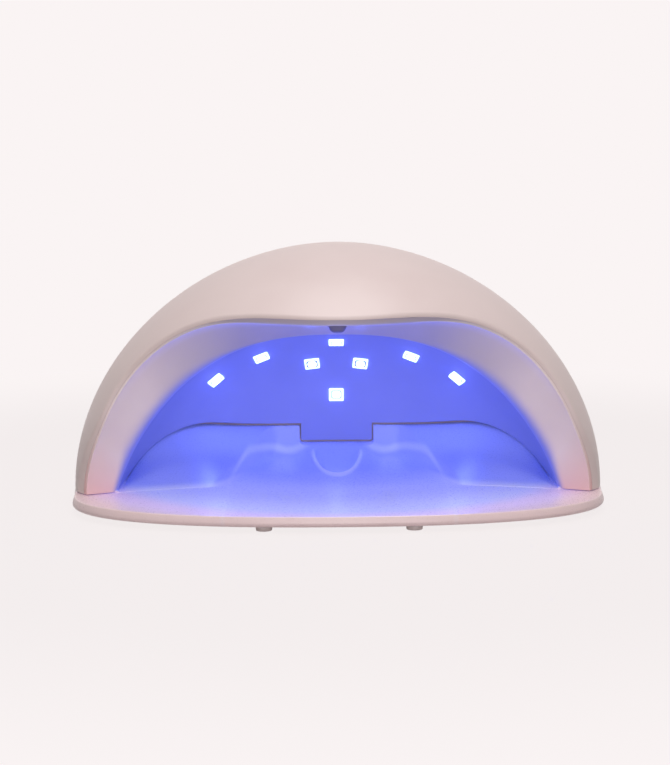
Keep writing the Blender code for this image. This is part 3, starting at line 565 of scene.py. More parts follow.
def seen_ray(tree: Tree) -> Socket:
    """Share that is 1 for rays that show the background to the eye.

    Args:
        tree: Node tree to add to.

    Returns:
        Socket of the share.
    """
    path = add_node(tree, "ShaderNodeLightPath")
    seen = path.outputs["Is Camera Ray"]
    for other in ("Is Glossy Ray", "Is Transmission Ray"):
        seen = add_node(
            tree, "ShaderNodeMath", {"operation": "MAXIMUM"}, {0: seen, 1: path.outputs[other]}
        ).outputs[0]
    return seen


@dataclass(frozen=True)
class Finish:
    """Real material, named for what it is and how its surface was made."""

    name: str

    def shade(self, tree: Tree, place: Socket) -> Node:
        """Build the shader on Object coordinates, which each kind of finish does in its own way."""
        raise NotImplementedError(self.name)

    def material(self) -> Material:
        """Build the material.

        Returns:
            The material, with its shader led to the output.
        """
        material = bpy.data.materials.new(self.name)
        material.use_nodes = True
        tree = material.node_tree
        tree.nodes.clear()
        place = add_node(tree, "ShaderNodeTexCoord").outputs["Object"]
        shader = self.shade(tree, place)
        add_node(tree, "ShaderNodeOutputMaterial", links={"Surface": shader.outputs[0]})
        return material


@dataclass(frozen=True)
class Moulding(Finish):
    """Injection-moulded plastic: a satin skin with the fine grain of a spark-eroded mould.

    The tint drifts a little where the melt flowed, and the gloss drifts with it. Real mould grain is
    under 0.1 mm and too fine to show, so it is drawn several times as coarse.
    """

    colour: str
    flow_tint: str
    roughness: float
    gloss_drift: float = 0.05
    flow_mm: float = 26.0
    flow_span: tuple[float, float] = (0.3, 0.62)
    grain_mm: float = 0.5
    grain_span: tuple[float, float] = (0.3, 0.7)
    relief_mm: float = 0.004
    ior: float = 1.52
    # Strength of the lamps' light painted on as a glow, for pieces that stand in it.
    glow: float = 0.0
    sparkle: bool = False

    def grade(self, tree: Tree, place: Socket, shader: Node) -> None:
        """Change the finish along the piece, which a plain moulding doesn't."""

    def shade(self, tree: Tree, place: Socket) -> Node:
        """Build the satin skin.

        Args:
            tree: Node tree to add to.
            place: Object coordinates.

        Returns:
            The shader.
        """
        flow, grain = (
            add_node(
                tree, "ShaderNodeTexNoise", {"Scale": 1 / (size * MM), "Detail": detail}, {"Vector": place}
            ).outputs["Fac"]
            for size, detail in ((self.flow_mm, 2.0), (self.grain_mm, 1.0))
        )
        stops = tuple(zip(self.flow_span, (linear(self.flow_tint), linear(self.colour))))
        drift = (self.roughness - self.gloss_drift, self.roughness + self.gloss_drift)
        bump = add_node(
            tree, "ShaderNodeBump", {"Strength": 1.0, "Distance": self.relief_mm * MM}, {"Height": grain}
        )
        shader = add_node(
            tree, "ShaderNodeBsdfPrincipled",
            {"IOR": self.ior, "Emission Color": linear(UV_LIGHT), "Emission Strength": self.glow},
            {
                "Base Color": ramp(tree, flow, stops),
                "Roughness": mapped(tree, grain if self.sparkle else flow, self.grain_span, drift),
                "Normal": bump.outputs["Normal"],
            },
        )
        self.grade(tree, place, shader)
        return shader

    @staticmethod
    def wash(tree: Tree, shader: Node, shares: Sequence[tuple[str, Socket]]) -> None:
        """Lay colours over the shader's own one after the other.

        Args:
            tree: Node tree to add to.
            shader: Shader whose colour is washed.
            shares: Each colour with the share in which it covers what is below.
        """
        base = shader.inputs["Base Color"]
        tint = base.links[0].from_socket
        for colour, share in shares:
            mix = add_node(
                tree, "ShaderNodeMix", {"data_type": "RGBA", 7: linear(colour)}, {0: share, 6: tint}
            )
            tint = mix.outputs[2]
        tree.links.new(tint, base)


@dataclass(frozen=True)
class FunnelMoulding(Moulding):
    """Moulding with the lamps' light painted on as colour and glow: blue behind the lip and where it rolls
    into the bowl, with painted shade under the visor and at the feet.

    Its UV map runs once round the mouth in U, and from the lip in to the bowl in V. The stops are
    places along U or V, each with the share that a colour or the glow has there.
    """

    # Painted contact shade: a darker, pinker tint near the feet, where the bezel meets the tray.
    foot_shade_colour: str = "F4CBCB"
    foot_shade_stops: Stops = ((0.0, 1.0), (0.09, 0.0), (0.91, 0.0), (1.0, 1.0))
    # Painted shade under the visor: a greyer mauve over the funnel's roof.
    roof_shade_colour: str = "C6BBCC"
    roof_shade_stops: Stops = ((0.20, 0.0), (0.36, 1.0), (0.64, 1.0), (0.80, 0.0))
    # Painted lamp light: the lilac that the funnel turns where it rolls into the bowl.
    lamp_light_colour: str = "9798D0"
    roll_span: tuple[float, float] = (0.66, 0.84)
    # Painted lamp light on the lip: a glow in a strip just behind the nose.
    strip_glow: float = 0.40
    strip_stops: Stops = ((0.114, 0.0), (0.119, 1.0), (0.16, 0.8), (0.30, 0.2), (0.6, 0.05))
    strip_ends: Stops = ((0.14, 0.0), (0.34, 1.0), (0.66, 1.0), (0.86, 0.0))

    def grade(self, tree: Tree, place: Socket, shader: Node) -> None:
        """Paint the lamps' light on as colour and glow, and the shade under the visor and at the feet, along
        the funnel.

        Args:
            tree: Node tree to add to.
            place: Object coordinates, which the funnel has no use for.
            shader: Shader of the satin skin.
        """
        lay = add_node(tree, "ShaderNodeSeparateXYZ", None, {0: add_node(tree, "ShaderNodeUVMap").outputs[0]})
        around, inward = lay.outputs["X"], lay.outputs["Y"]
        # Shares of the painted shade at the feet and under the roof, and of the lamps' light painted on the
        # strip behind the lip.
        feet, roof, strip, ends = (
            ramp(tree, along, stops)
            for along, stops in (
                (around, self.foot_shade_stops), (around, self.roof_shade_stops),
                (inward, self.strip_stops), (around, self.strip_ends),
            )
        )
        roll = mapped(tree, inward, self.roll_span, easing="SMOOTHERSTEP")
        # The glow is painted lamp light: on the strip behind the lip, and on the roll into the bowl.
        lip_glow = add_node(
            tree, "ShaderNodeMath", {"operation": "MULTIPLY", 1: self.strip_glow},
            {0: product(tree, strip, ends)},
        )
        glow = add_node(
            tree, "ShaderNodeMath", {"operation": "MULTIPLY_ADD", 1: self.glow},
            {0: roll, 2: lip_glow.outputs[0]},
        )
        tree.links.new(glow.outputs[0], shader.inputs["Emission Strength"])
        self.wash(
            tree, shader, ((self.foot_shade_colour, feet), (self.roof_shade_colour, roof), (self.lamp_light_colour, roll))
        )


@dataclass(frozen=True)
class PadMoulding(Moulding):
    """Moulding with the lamps' light painted on: lilac as it rises from the plate to the bowl, a pool and
    glow under the visor, and highlights.

    Heights are above the plate's top. The painted pool of light is an oval on the plate, under the visor, and
    its fades are shares of the oval's half-axes.
    """

    # Painted pool of the lamps' light, with the visor's shade: lavender grey on the plate under the visor.
    pool_light_colour: str = "DADAE6"
    # Painted lamp light: lilac on the pad as it rises from the plate.
    lamp_light_colour: str = "C6CAE0"
    # Painted lamp light, darker and bluer, low on the wings.
    toe_light_colour: str = "A0A6DC"
    # Painted highlight along the crest of the tongue's ridge.
    crest_highlight_colour: str = "FFFFFF"
    # Painted highlight along the soft crest behind the finger bays.
    band_highlight_colour: str = "F4F4FF"
    top_face: tuple[float, float] = (-0.4 * MM, -0.1 * MM)
    lamp_light_heights: tuple[float, float] = (0.1 * MM, 1.8 * MM)
    toe_light_heights: tuple[float, float] = (10 * MM, 2 * MM)
    wing_span: tuple[float, float] = (36.0 * MM, 52.0 * MM)
    pool_x: float = 96.0 * MM
    pool_y: float = 84.0 * MM
    pool_front: float = -10.0 * MM
    pool_fade: tuple[float, float] = (1.02, 0.84)
    halo_fade: tuple[float, float] = (1.2, 1.0)
    crest_highlight_fade: tuple[float, float] = (0.13, 0.02)
    band_x: float = 50.0 * MM
    band_z: float = 12.0 * MM
    band_highlight_fade: tuple[float, float] = (0.20, 0.02)
    band_highlight_share: float = 0.75
    band_line: Stops = ((0.25, 0.52), (0.40, 0.30), (0.56, 0.43), (0.72, 0.62), (0.80, 0.50), (0.90, 0.06))
    band_ends: Stops = ((0.22, 0.0), (0.30, 1.0), (0.80, 1.0), (0.92, 0.0))

    def grade(self, tree: Tree, place: Socket, shader: Node) -> None:
        """Paint the lamps' light on with height, as a pool and glow over the plate's top in an oval under the
        visor, and as highlights.

        Args:
            tree: Node tree to add to.
            place: Object coordinates.
            shader: Shader of the satin skin.
        """
        apart = add_node(tree, "ShaderNodeSeparateXYZ", None, {0: place})
        depth, height = apart.outputs["Y"], apart.outputs["Z"]
        side = add_node(tree, "ShaderNodeMath", {"operation": "ABSOLUTE"}, {0: apart.outputs["X"]}).outputs[0]
        oval = add_node(
            tree, "ShaderNodeMapping",
            {
                "vector_type": "POINT",
                "Location": (0.0, (self.pool_front - DOME_Y) / self.pool_y, 0.0),
                "Scale": (1 / self.pool_x, 1 / self.pool_y, 0.0),
            },
            {"Vector": place},
        )
        reach = add_node(
            tree, "ShaderNodeVectorMath", {"operation": "LENGTH"}, {0: oval.outputs[0]}
        ).outputs["Value"]
        face, lit, toe = (
            tuple(PLATE_TOP + level for level in levels)
            for levels in (self.top_face, self.lamp_light_heights, self.toe_light_heights)
        )
        shares = {
            name: mapped(tree, along, span, (0.0, most), easing)
            for name, along, span, easing, most in (
                ("face", height, face, "LINEAR", 1.0),
                ("lit", height, lit, "SMOOTHSTEP", 1.0),
                ("toe", height, toe, "SMOOTHSTEP", 1.0),
                ("wing", side, self.wing_span, "SMOOTHSTEP", 1.0),
                # Painted pool of the lamps' light and its glow, in the oval under the visor.
                ("pool", reach, self.pool_fade, "SMOOTHSTEP", 1.0),
                ("halo", reach, self.halo_fade, "SMOOTHSTEP", self.glow),
            )
        }
        # Products: the painted pool on the plate's top, its painted glow, and the darker painted lamp light
        # low on the wings.
        for name, first, second in (
            ("floor", "pool", "face"), ("glow", "halo", "face"),
            ("low_wing", "wing", "toe"), ("lit_toe", "low_wing", "lit"),
        ):
            shares[name] = product(tree, shares[first], shares[second])
        tree.links.new(shares["glow"], shader.inputs["Emission Strength"])
        self.wash(tree, shader, (
            (self.pool_light_colour, shares["floor"]), (self.lamp_light_colour, shares["lit"]),
            (self.toe_light_colour, shares["lit_toe"]), (self.crest_highlight_colour, self.crest(tree, place, depth)),
            (self.band_highlight_colour, self.band(tree, side, height)),
        ))

    def crest(self, tree: Tree, place: Socket, depth: Socket) -> Socket:
        """Share of the painted highlight, 1 along the crest of the tongue's ridge.

        Args:
            tree: Node tree to add to.
            place: Object coordinates.
            depth: Their Y.

        Returns:
            Socket of the share.
        """
        end = Tray.ridge_y + DOME_Y
        arch = add_node(
            tree, "ShaderNodeMapping",
            {
                "vector_type": "POINT",
                "Location": (0.0, -end / Tray.ridge_run, 0.0),
                "Scale": (1 / Tray.ridge_x, 1 / Tray.ridge_run, 0.0),
            },
            {"Vector": place},
        )
        # Behind the end of the U only the distance from the middle plane counts, so the sides run straight.
        ahead = add_node(
            tree, "ShaderNodeVectorMath", {"operation": "MINIMUM", 1: (FAR_OFF, 0.0, 0.0)},
            {0: arch.outputs[0]},
        )
        reach = add_node(tree, "ShaderNodeVectorMath", {"operation": "LENGTH"}, {0: ahead.outputs[0]})
        fade = mapped(tree, depth, (end + Tray.ridge_fade, end - Tray.ridge_fade))
        off = add_node(tree, "ShaderNodeMath", {"operation": "SUBTRACT", 1: 1.0}, {0: reach.outputs["Value"]})
        return self.near_line(tree, off.outputs[0], self.crest_highlight_fade, 1.0, fade)

    def band(self, tree: Tree, side: Socket, height: Socket) -> Socket:
        """Share of the painted highlight that rises along the soft crest between the finger bays and the wall
        behind them.

        Args:
            tree: Node tree to add to.
            side: Distance from the middle plane.
            height: Object coordinates' Z.

        Returns:
            Socket of the share.
        """
        along = mapped(tree, side, (0.0, self.band_x))
        up = mapped(tree, height, (PLATE_TOP, PLATE_TOP + self.band_z))
        line = ramp(tree, along, self.band_line, "CARDINAL")
        off = add_node(tree, "ShaderNodeMath", {"operation": "SUBTRACT"}, {0: up, 1: line})
        ends = ramp(tree, along, self.band_ends)
        return self.near_line(tree, off.outputs[0], self.band_highlight_fade, self.band_highlight_share, ends)

    @staticmethod
    def near_line(tree: Tree, off: Socket, fade: tuple[float, float], most: float, within: Socket) -> Socket:
        """Share that rises towards a line.

        Args:
            tree: Node tree to add to.
            off: Distance from the line, with its sign.
            fade: Distances at which the share starts and is full.
            most: Full share.
            within: Share that limits the line to its own length.

        Returns:
            Socket of the share.
        """
        away = add_node(tree, "ShaderNodeMath", {"operation": "ABSOLUTE"}, {0: off})
        near = mapped(tree, away.outputs[0], fade, (0.0, most), "SMOOTHSTEP")
        return product(tree, near, within)


@dataclass(frozen=True)
class Plated(Finish):
    """Plated steel: bright metal with fine tumbling scratches that spread its gloss.

    Real scratches are a few hundredths of a millimetre wide, so they are drawn coarser to show.
    """

    colour: str
    roughness: float
    scratch_mm: float = 0.8
    scratch_tint: str = "E4E2DE"
    smoother: float = 0.08
    rougher: float = 0.12

    def shade(self, tree: Tree, place: Socket) -> Node:
        """Build the scratched metal.

        Args:
            tree: Node tree to add to.
            place: Object coordinates.

        Returns:
            The shader.
        """
        scratch = add_node(
            tree, "ShaderNodeTexNoise",
            {"Scale": 1 / (self.scratch_mm * MM), "Detail": 4.0, "Distortion": 1.5}, {"Vector": place},
        ).outputs["Fac"]
        spread = (self.roughness - self.smoother, self.roughness + self.rougher)
        stops = ((0.0, linear(self.colour)), (1.0, linear(self.scratch_tint)))
        return add_node(
            tree, "ShaderNodeBsdfPrincipled", {"Metallic": 1.0},
            {
                "Base Color": ramp(tree, scratch, stops),
                "Roughness": mapped(tree, scratch, (0.0, 1.0), spread),
            },
        )


@dataclass(frozen=True)
class Glow(Finish):
    """Lit epoxy: a clear casting over a UV chip, blown out to white with a violet-blue spill."""

    colour: str
    light: str
    strength: float
    cloud_mm: float = 1.2
    cloud_tint: str = "C9CCF4"
    roughness: float = 0.12

    def shade(self, tree: Tree, place: Socket) -> Node:
        """Build the lit casting.

        Args:
            tree: Node tree to add to.
            place: Object coordinates.

        Returns:
            The shader.
        """
        cloud = add_node(tree, "ShaderNodeTexNoise", {"Scale": 1 / (self.cloud_mm * MM)}, {"Vector": place})
        stops = ((0.0, linear(self.cloud_tint)), (1.0, linear(self.colour)))
        return add_node(
            tree, "ShaderNodeBsdfPrincipled",
            {
                "Roughness": self.roughness, "Emission Color": linear(self.light),
                "Emission Strength": self.strength,
            },
            {"Base Color": ramp(tree, cloud.outputs["Fac"], stops)},
        )


@dataclass(frozen=True)
class Laminate(Finish):
    """Glass-fibre circuit board under solder mask: its weave shows as a faint check."""

    colour: str
    weave_tint: str
    roughness: float
    weave_mm: float = 0.6
    relief_mm: float = 0.02

    def shade(self, tree: Tree, place: Socket) -> Node:
        """Build the masked weave.

        Args:
            tree: Node tree to add to.
            place: Object coordinates.

        Returns:
            The shader.
        """
        weave = add_node(
            tree, "ShaderNodeTexChecker",
            {
                "Scale": 1 / (self.weave_mm * MM),
                "Color1": linear(self.colour), "Color2": linear(self.weave_tint),
            },
            {"Vector": place},
        )
        bump = add_node(
            tree, "ShaderNodeBump", {"Distance": self.relief_mm * MM}, {"Height": weave.outputs["Fac"]}
        )
        return add_node(
            tree, "ShaderNodeBsdfPrincipled", {"Roughness": self.roughness},
            {"Base Color": weave.outputs["Color"], "Normal": bump.outputs["Normal"]},
        )


@dataclass(frozen=True)
class SweepPaper(Finish):
    """Matt background paper: an even pale ground to the eye, on which a soft shadow stays near the lamp."""

    ground: str
    paper: str
    shadow_share: float = 0.10
    shadow_span: tuple[float, float] = (0.20, 0.42)

    def shade(self, tree: Tree, place: Socket) -> Node:
        """Build the paper.

        Args:
            tree: Node tree to add to.
            place: Object coordinates.

        Returns:
            The shader.
        """
        reach = add_node(tree, "ShaderNodeVectorMath", {"operation": "LENGTH"}, {0: place})
        plain = mapped(
            tree, reach.outputs["Value"], self.shadow_span, (1 - self.shadow_share, 1.0), "SMOOTHSTEP"
        )
        paper = add_node(tree, "ShaderNodeBsdfDiffuse", {"Color": linear(self.paper)})
        light = add_node(tree, "ShaderNodeEmission", {"Color": linear(self.ground)})
        return add_node(
            tree, "ShaderNodeMixShader", None,
            {0: product(tree, seen_ray(tree), plain), 1: paper.outputs[0], 2: light.outputs[0]},
        )


# Lamps of 365 to 405 nm, as an eye or a camera takes them: violet-blue.
UV_LIGHT = "6579FF"
GROUND = "FAF4F4"

# Blush ABS from a satin-etched mould: broad soft highlights and no mirror image.
SHELL_ABS = Moulding("blush_abs_shell", "E8D4D1", "E5D0CD", 0.42)
# The same ABS, paler, with the lamps' light painted on as colour and glow, so the mouth shades from blush to
# violet-blue; painted shade lies under the visor and at the feet.
BEZEL_ABS = FunnelMoulding("blush_abs_bezel", "FDECEA", "F9E6E4", 0.40, glow=0.20)
# Matt ABS that throws the light back evenly, with no streaks below the lamps; its inner side has the lamps'
# light painted on as a glow.
BOWL_ABS = Moulding("lilac_abs_reflector", "9C9DC8", "9899C4", 0.8, ior=1.3, glow=0.20)
# The bowl's far side, in the dark of the head: plain lilac, without the painted glow.
BOWL_BACK_ABS = Moulding("lilac_abs_reflector_back", "9C9DD2", "9899CE", 0.8, ior=1.3)
# Finely textured ABS: the hand's rest has a sparkle in its gloss; the lamps' lavender light is painted on it,
# with a painted pool and glow under the visor and painted highlights on its ridges.
TRAY_ABS = PadMoulding("blush_abs_tray", "F3D8D8", "EFD3D3", 0.31, relief_mm=0.001, glow=0.2, sparkle=True)
# Coarser ABS of a hidden part: dull.
FRAME_ABS = Moulding("blush_abs_frame", "DEC8C6", "D9C2C0", 0.55)
# Button ABS, polished by fingers: a little glossier than the shell.
BUTTON_ABS = Moulding("blush_abs_button", "EBD9D6", "E7D3D0", 0.36)
# Moulded silicone rubber: dull and grippy.
FOOT_RUBBER = Moulding("pale_foot_rubber", "FAECEA", "F6E6E4", 0.62, grain_mm=0.3, relief_mm=0.01)
# Glass-filled nylon: near black, with a slightly rough skin.
BLACK_NYLON = Moulding("black_nylon", "1C1C1E", "262628", 0.46, relief_mm=0.008)
# Tinted acrylic lens: smooth, grey-violet in the lamps' light.
SENSOR_ACRYLIC = Moulding("grey_sensor_acrylic", "76709A", "6E6892", 0.3, relief_mm=0.0005)
# Polished smoked acrylic: dark, with clear highlights.
SMOKED_ACRYLIC = Moulding("smoked_acrylic", "2A2740", "343052", 0.12, relief_mm=0.0005)
# Cast housing of the display: plain grey.
DISPLAY_GREY = Moulding("display_grey", "8E9591", "848B87", 0.4)
# Screen-printed ink: matt grey.
GREY_INK = Moulding("grey_ink", "7D6C6C", "756464", 0.6)
# Zinc and nickel plate: the first a cool grey gleam, the second warmer and brighter.
BRIGHT_STEEL = Plated("zinc_plated_steel", "BFC0C2", 0.26)
NICKEL = Plated("nickel_plate", "C9C4BB", 0.2)
# Clear epoxy over the chips: lens and package look white, and only the groove between them shows blue.
LIT_LENS = Glow("lit_lens_epoxy", "FFFFFF", UV_LIGHT, 96.0)
LIT_PACKAGE = Glow("lit_package_epoxy", "FFFFFF", UV_LIGHT, 8.0)
LENS_GROOVE = Glow("lens_groove_epoxy", "8088C8", UV_LIGHT, 0.3)
# Display segments: a cold white.
LIT_DIGIT = Glow("lit_display_segment", "FFFFFF", "E0F3FF", 2.2)
# Solder-masked laminate: white for the lamps, green for the controls.
LAMP_BOARD = Laminate("white_lamp_board", "E6E8E6", "DDE0DE", 0.42)
GREEN_BOARD = Laminate("green_circuit_board", "1F5B36", "276B40", 0.36)
# Studio paper: flat and even.
PALE_PAPER = SweepPaper("pale_paper", GROUND, "C2BDBD")


# Sub-assemblies

@dataclass
class Dome:
    """Outer shell: a squashed dome whose visor reaches out over the mouth."""

    half_width: float = 108.2 * MM
    depth: float = 90.0 * MM
    height: float = 99.1 * MM
    roundness: float = 1.93
    wall: float = 2.0 * MM
    side_reach: float = 31.0 * MM
    visor_reach: float = 26.7 * MM
    visor_side_run: float = 16.2 * MM
    heel: float = 16.0 * MM
    lip_wall: float = 0.85 * MM
    lip_foot_wall: float = 1.7 * MM
    lip_round: float = 0.65 * MM
    lip_inner_round: float = 0.15 * MM
    rebate_depth: float = 4.6 * MM
    columns: int = 160
    outer_rows: int = 84
    inner_rows: int = 24
    lip_steps: int = 8

    def mouth_reach(self, x: float) -> float:
        """How far in front of the centre the visor's edge lies at x.

        Args:
            x: Place across the dome.

        Returns:
            Distance in front of the centre.
        """
        span = self.half_width - self.visor_side_run
        share = min(1.0, abs(x) / span)
        heel = max(0.0, abs(x) - span) / self.visor_side_run
        visor = self.visor_reach * (1 + math.cos(math.pi * share)) / 2
        return self.side_reach + visor - self.heel * heel ** 2

    def point(self, back: float, arch: float, inset: float = 0.0) -> Vector:
        """Point on the dome, from the back forward and from the right foot over to the left.

        Args:
            back: Angle from the back pole.
            arch: Angle over the arch.
            inset: How far inside the skin the point lies.

        Returns:
            The point, from the centre of the dome.
        """
        ring = math.sin(back)
        plan = math.sqrt(max(0.0, 1 - (ring * math.sin(arch)) ** 2))
        return Vector((
            (self.half_width - inset) * ring * math.cos(arch),
            (self.depth - inset) * math.cos(back),
            (self.height - inset) * round_off(plan, self.roundness),
        ))

    def mouth_angle(self, arch: float, inset: float = 0.0, setback: float = 0.0) -> float:
        """Back angle at which the dome meets the visor's edge, or lies a setback behind it.

        Args:
            arch: Angle over the arch.
            inset: How far inside the skin.
            setback: How far behind the edge.

        Returns:
            Angle from the back pole.
        """
        def before_edge(back: float) -> float:
            """How far a point of the dome lies behind the edge."""
            point = self.point(back, arch, inset)
            return point.y + self.mouth_reach(point.x) - setback
        return solve(before_edge, math.pi / 2, math.pi)

    def edge_point(self, arch: float, inset: float, setback: float) -> Vector:
        """Point on the visor's edge at an inset and a setback."""
        return self.point(self.mouth_angle(arch, inset, setback), arch, inset)

    def height_at(self, x: float, y: float, inset: float = 0.0) -> float:
        """Height of the dome over a point in plan."""
        plan = math.hypot(x / (self.half_width - inset), y / (self.depth - inset))
        return (self.height - inset) * round_off(plan, self.roundness)

    def frame_at(self, x: float, y: float) -> Matrix:
        """Placing matrix on the dome over a point in plan, Z out of the dome.

        Args:
            x: Place across the dome.
            y: Place along it.

        Returns:
            The placing matrix.
        """
        def surface(along: float, left: float) -> Vector:
            """Point of the dome over a point in plan."""
            return Vector((-left, along, self.height_at(-left, along)))
        return HEAD_PLACE @ surface_frame(surface, y, -x, 2 * surface(y, -x))

    def lip_at(self, arch: float) -> float:
        """Thickness of the lip, which is rebated to take the bezel."""
        return blend(self.lip_wall, self.lip_foot_wall, abs(math.cos(arch)))

    def section(self, arch: float) -> list[Vector]:
        """Wall from the back, out over the lip's round edge and back along the rebate and the inside.

        Args:
            arch: Angle over the arch.

        Returns:
            Points of the wall in turn.
        """
        turns = quarter(self.lip_steps)
        big, small, lip = self.lip_round, self.lip_inner_round, self.lip_at(arch)
        front = self.mouth_angle(arch, 0.0, big)
        points = [self.point(front * row / self.outer_rows, arch) for row in range(self.outer_rows)]
        for cos, sin in turns:
            points.append(self.edge_point(arch, big * (1 - cos), big * (1 - sin)))
        for cos, sin in turns:
            points.append(self.edge_point(arch, lip - small * (1 - sin), small * (1 - cos)))
        points.append(self.edge_point(arch, lip, self.rebate_depth))
        points.append(self.edge_point(arch, self.wall, self.rebate_depth))
        front = self.mouth_angle(arch, self.wall, self.rebate_depth)
        for row in range(self.inner_rows - 1, -1, -1):
            points.append(self.point(front * row / self.inner_rows, arch, self.wall))
        return points

    def moulding(self, name: str) -> Piece:
        """Walled dome without its holes."""
        return arched(name, self.section, self.columns)

    def build(self, holes: list[Piece]) -> Piece:
        """Shell with its holes cut, in its finish.

        Args:
            holes: Tool bodies of the openings.

        Returns:
            The finished shell.
        """
        shell = self.moulding("dome_shell")
        combine(shell, fuse(holes))
        return complete(shell, SHELL_ABS.material(), Body.HEAD, "shell_plastic", "outer_shell")


@dataclass
class Bowl:
    """Reflector bowl inside the dome, down to its joint with the tray's wall."""

    dome: Dome
    side_set_in: float = 18.8 * MM
    top_set_in: float = 35.7 * MM
    back_set_in: float = 24.0 * MM
    front_reach: float = 19.7 * MM
    wall: float = 1.8 * MM
    plan_roundness: float = 2.5
    side_roundness: float = 2.8
    front_arch: tuple[float, float] = (2.6, 1.2)
    back_arch: tuple[float, float] = (2.2, 2.0)
    tab_half_width: float = 15.7 * MM
    tab_foot: float = 6.3 * MM
    tab_corner: float = 1.0 * MM
    seam_gap: float = 0.7 * MM
    seam_height: float = 16.2 * MM
    seam_rise_start: float = -2.0 * MM
    seam_rise_length: float = 52.0 * MM
    seam_dip: float = 2.9 * MM
    seam_dip_start: float = 50.0 * MM
    seam_dip_length: float = 16.0 * MM
    front_gap: float = 0.06 * MM
    crest_roll_mm: float = 0.7
    flank_roll_mm: float = 7.5
    foot_roll_mm: float = 3.0
    flank_lean: tuple[float, float] = (0.15, 0.6)
    foot_lean: tuple[float, float] = (0.93, 0.07)
    tab_reach: float = 40.0 * MM
    corner_steps: int = 7
    columns: int = 128
    rows: int = 64
    back_row_step: int = 4
    seam_steps: int = 90

    def __post_init__(self) -> None:
        """Work out the sizes that follow from the dome."""
        self.half_width = self.dome.half_width - self.side_set_in
        self.height = self.dome.height - self.top_set_in
        self.depth = self.dome.depth - self.back_set_in + self.front_reach

    def point(self, turn: float, arch: float, grow: float = 0.0) -> Vector:
        """Point on the bowl, from its front edge back and from the right foot over to the left.

        Args:
            turn: Depth angle.
            arch: Angle over the arch.
            grow: How far outside the skin the point lies.

        Returns:
            The point, from the centre of the dome.
        """
        share = math.sin(turn)
        across = blend(self.front_arch[0], self.back_arch[0], share)
        up = blend(self.front_arch[1], self.back_arch[1], share)
        lean = math.cos(arch)
        return Vector((
            (self.half_width + grow) * round_off(share, self.plan_roundness) * lean,
            (self.depth + grow) * share - self.front_reach,
            (self.height + grow) * round_off(share, self.side_roundness)
            * max(0.0, 1 - abs(lean) ** across) ** (1 / up),
        ))

    def outline_y(self, x: float, grow: float = 0.0) -> float:
        """Back edge of the footprint at x."""
        share = abs(x) / (self.half_width + grow)
        return (self.depth + grow) * round_off(share, self.plan_roundness) - self.front_reach

    def seam_at(self, y: float) -> float:
        """Height of the joint line between the bowl and the tray's wall."""
        rise = self.seam_height * eased(y, self.seam_rise_start, self.seam_rise_length)
        return rise - self.seam_dip * eased(y, self.seam_dip_start, self.seam_dip_length)

    def roll(self, arch: float) -> float:
        """Depth of the round-over that leads from the bezel into the bowl.

        Args:
            arch: Angle over the arch.

        Returns:
            Depth behind the front edge.
        """
        lean = abs(math.cos(arch))
        roll_mm = blend(self.crest_roll_mm, self.flank_roll_mm, eased(lean, *self.flank_lean))
        return blend(roll_mm, self.foot_roll_mm, eased(lean, *self.foot_lean)) * MM

    def turn_at(self, depth: float) -> float:
        """Depth angle at a distance behind the front edge."""
        return math.asin(depth / self.depth)

    def tab_foot_line(self, grow: float = 0.0) -> Outline:
        """Foot of the centre tab, or of the slot round it, from the right over its round corners to the left.

        Args:
            grow: How far the line lies outside the tab.

        Returns:
            Points of the line in X and Z.
        """
        half, corner = self.tab_half_width + grow, self.tab_corner + grow
        top = self.tab_foot - grow + corner
        right = [
            (half - corner + corner * cos, top - corner * sin) for cos, sin in quarter(self.corner_steps)
        ]
        return right + [(-x, z) for x, z in reversed(right)]

    def seam_tools(self) -> list[Piece]:
        """Tool bodies under the joint line and under the tab.

        Returns:
            The bodies that cut the bowl off.
        """
        front, back = -self.front_reach - MARGIN, self.depth - self.front_reach + self.wall + MARGIN
        ys = [blend(front, back, step / self.seam_steps) for step in range(self.seam_steps + 1)]
        outline = [(y, self.seam_at(y) + self.seam_gap) for y in ys]
        outline += [(back, -2 * MARGIN), (front, -2 * MARGIN)]
        far = self.half_width + self.wall + MARGIN
        tools = [
            raised("seam_tool", outline, start, end, HEAD_PLACE @ SIDEWAYS)
            for start, end in ((self.tab_half_width, far), (-far, -self.tab_half_width))
        ]
        foot = self.tab_foot_line()
        side, top = foot[0][0] + MARGIN, foot[0][1]
        slot = [(-side, -MARGIN), (side, -MARGIN), (side, top), *foot, (-side, top)]
        tools.append(raised("tab_tool", slot, self.tab_reach, back, HEAD_PLACE @ UPRIGHT))
        return tools

    def section(self, arch: float) -> list[Vector]:
        """Wall over one ray: the inside, the back in fewer rows and the closing point.

        Args:
            arch: Angle over the arch.

        Returns:
            Points of the wall in turn.
        """
        start = self.turn_at(self.roll(arch) + self.front_gap)
        inner = [blend(start, math.pi / 2, row / self.rows) for row in range(self.rows + 1)]
        points = [self.point(turn, arch) for turn in inner]
        points += [self.point(turn, arch, self.wall) for turn in reversed(inner[::self.back_row_step])]
        return points + points[:1]

    def build(self, windows: list[Piece]) -> Piece:
        """Bowl with its joint line and lamp windows cut, in its finish.

        Args:
            windows: Tool bodies of the lamp windows.

        Returns:
            The finished bowl.
        """
        bowl = arched("reflector", self.section, self.columns)
        for tool in self.seam_tools():
            combine(bowl, tool)
        combine(bowl, fuse(windows))
        smooth(bowl)
        heart = HEAD_PLACE @ Vector((0.0, 0.0, self.height / 2))
        # Faces turned away from the hollow take the copy without the painted glow.
        for face in bowl.data.polygons:
            face.material_index = int(face.normal.dot(face.center - heart) > 0)
        dress(bowl, BOWL_ABS.material(), BOWL_BACK_ABS.material())
        return seat(bowl, Body.HEAD, "reflector_plastic", "reflector_bowl")


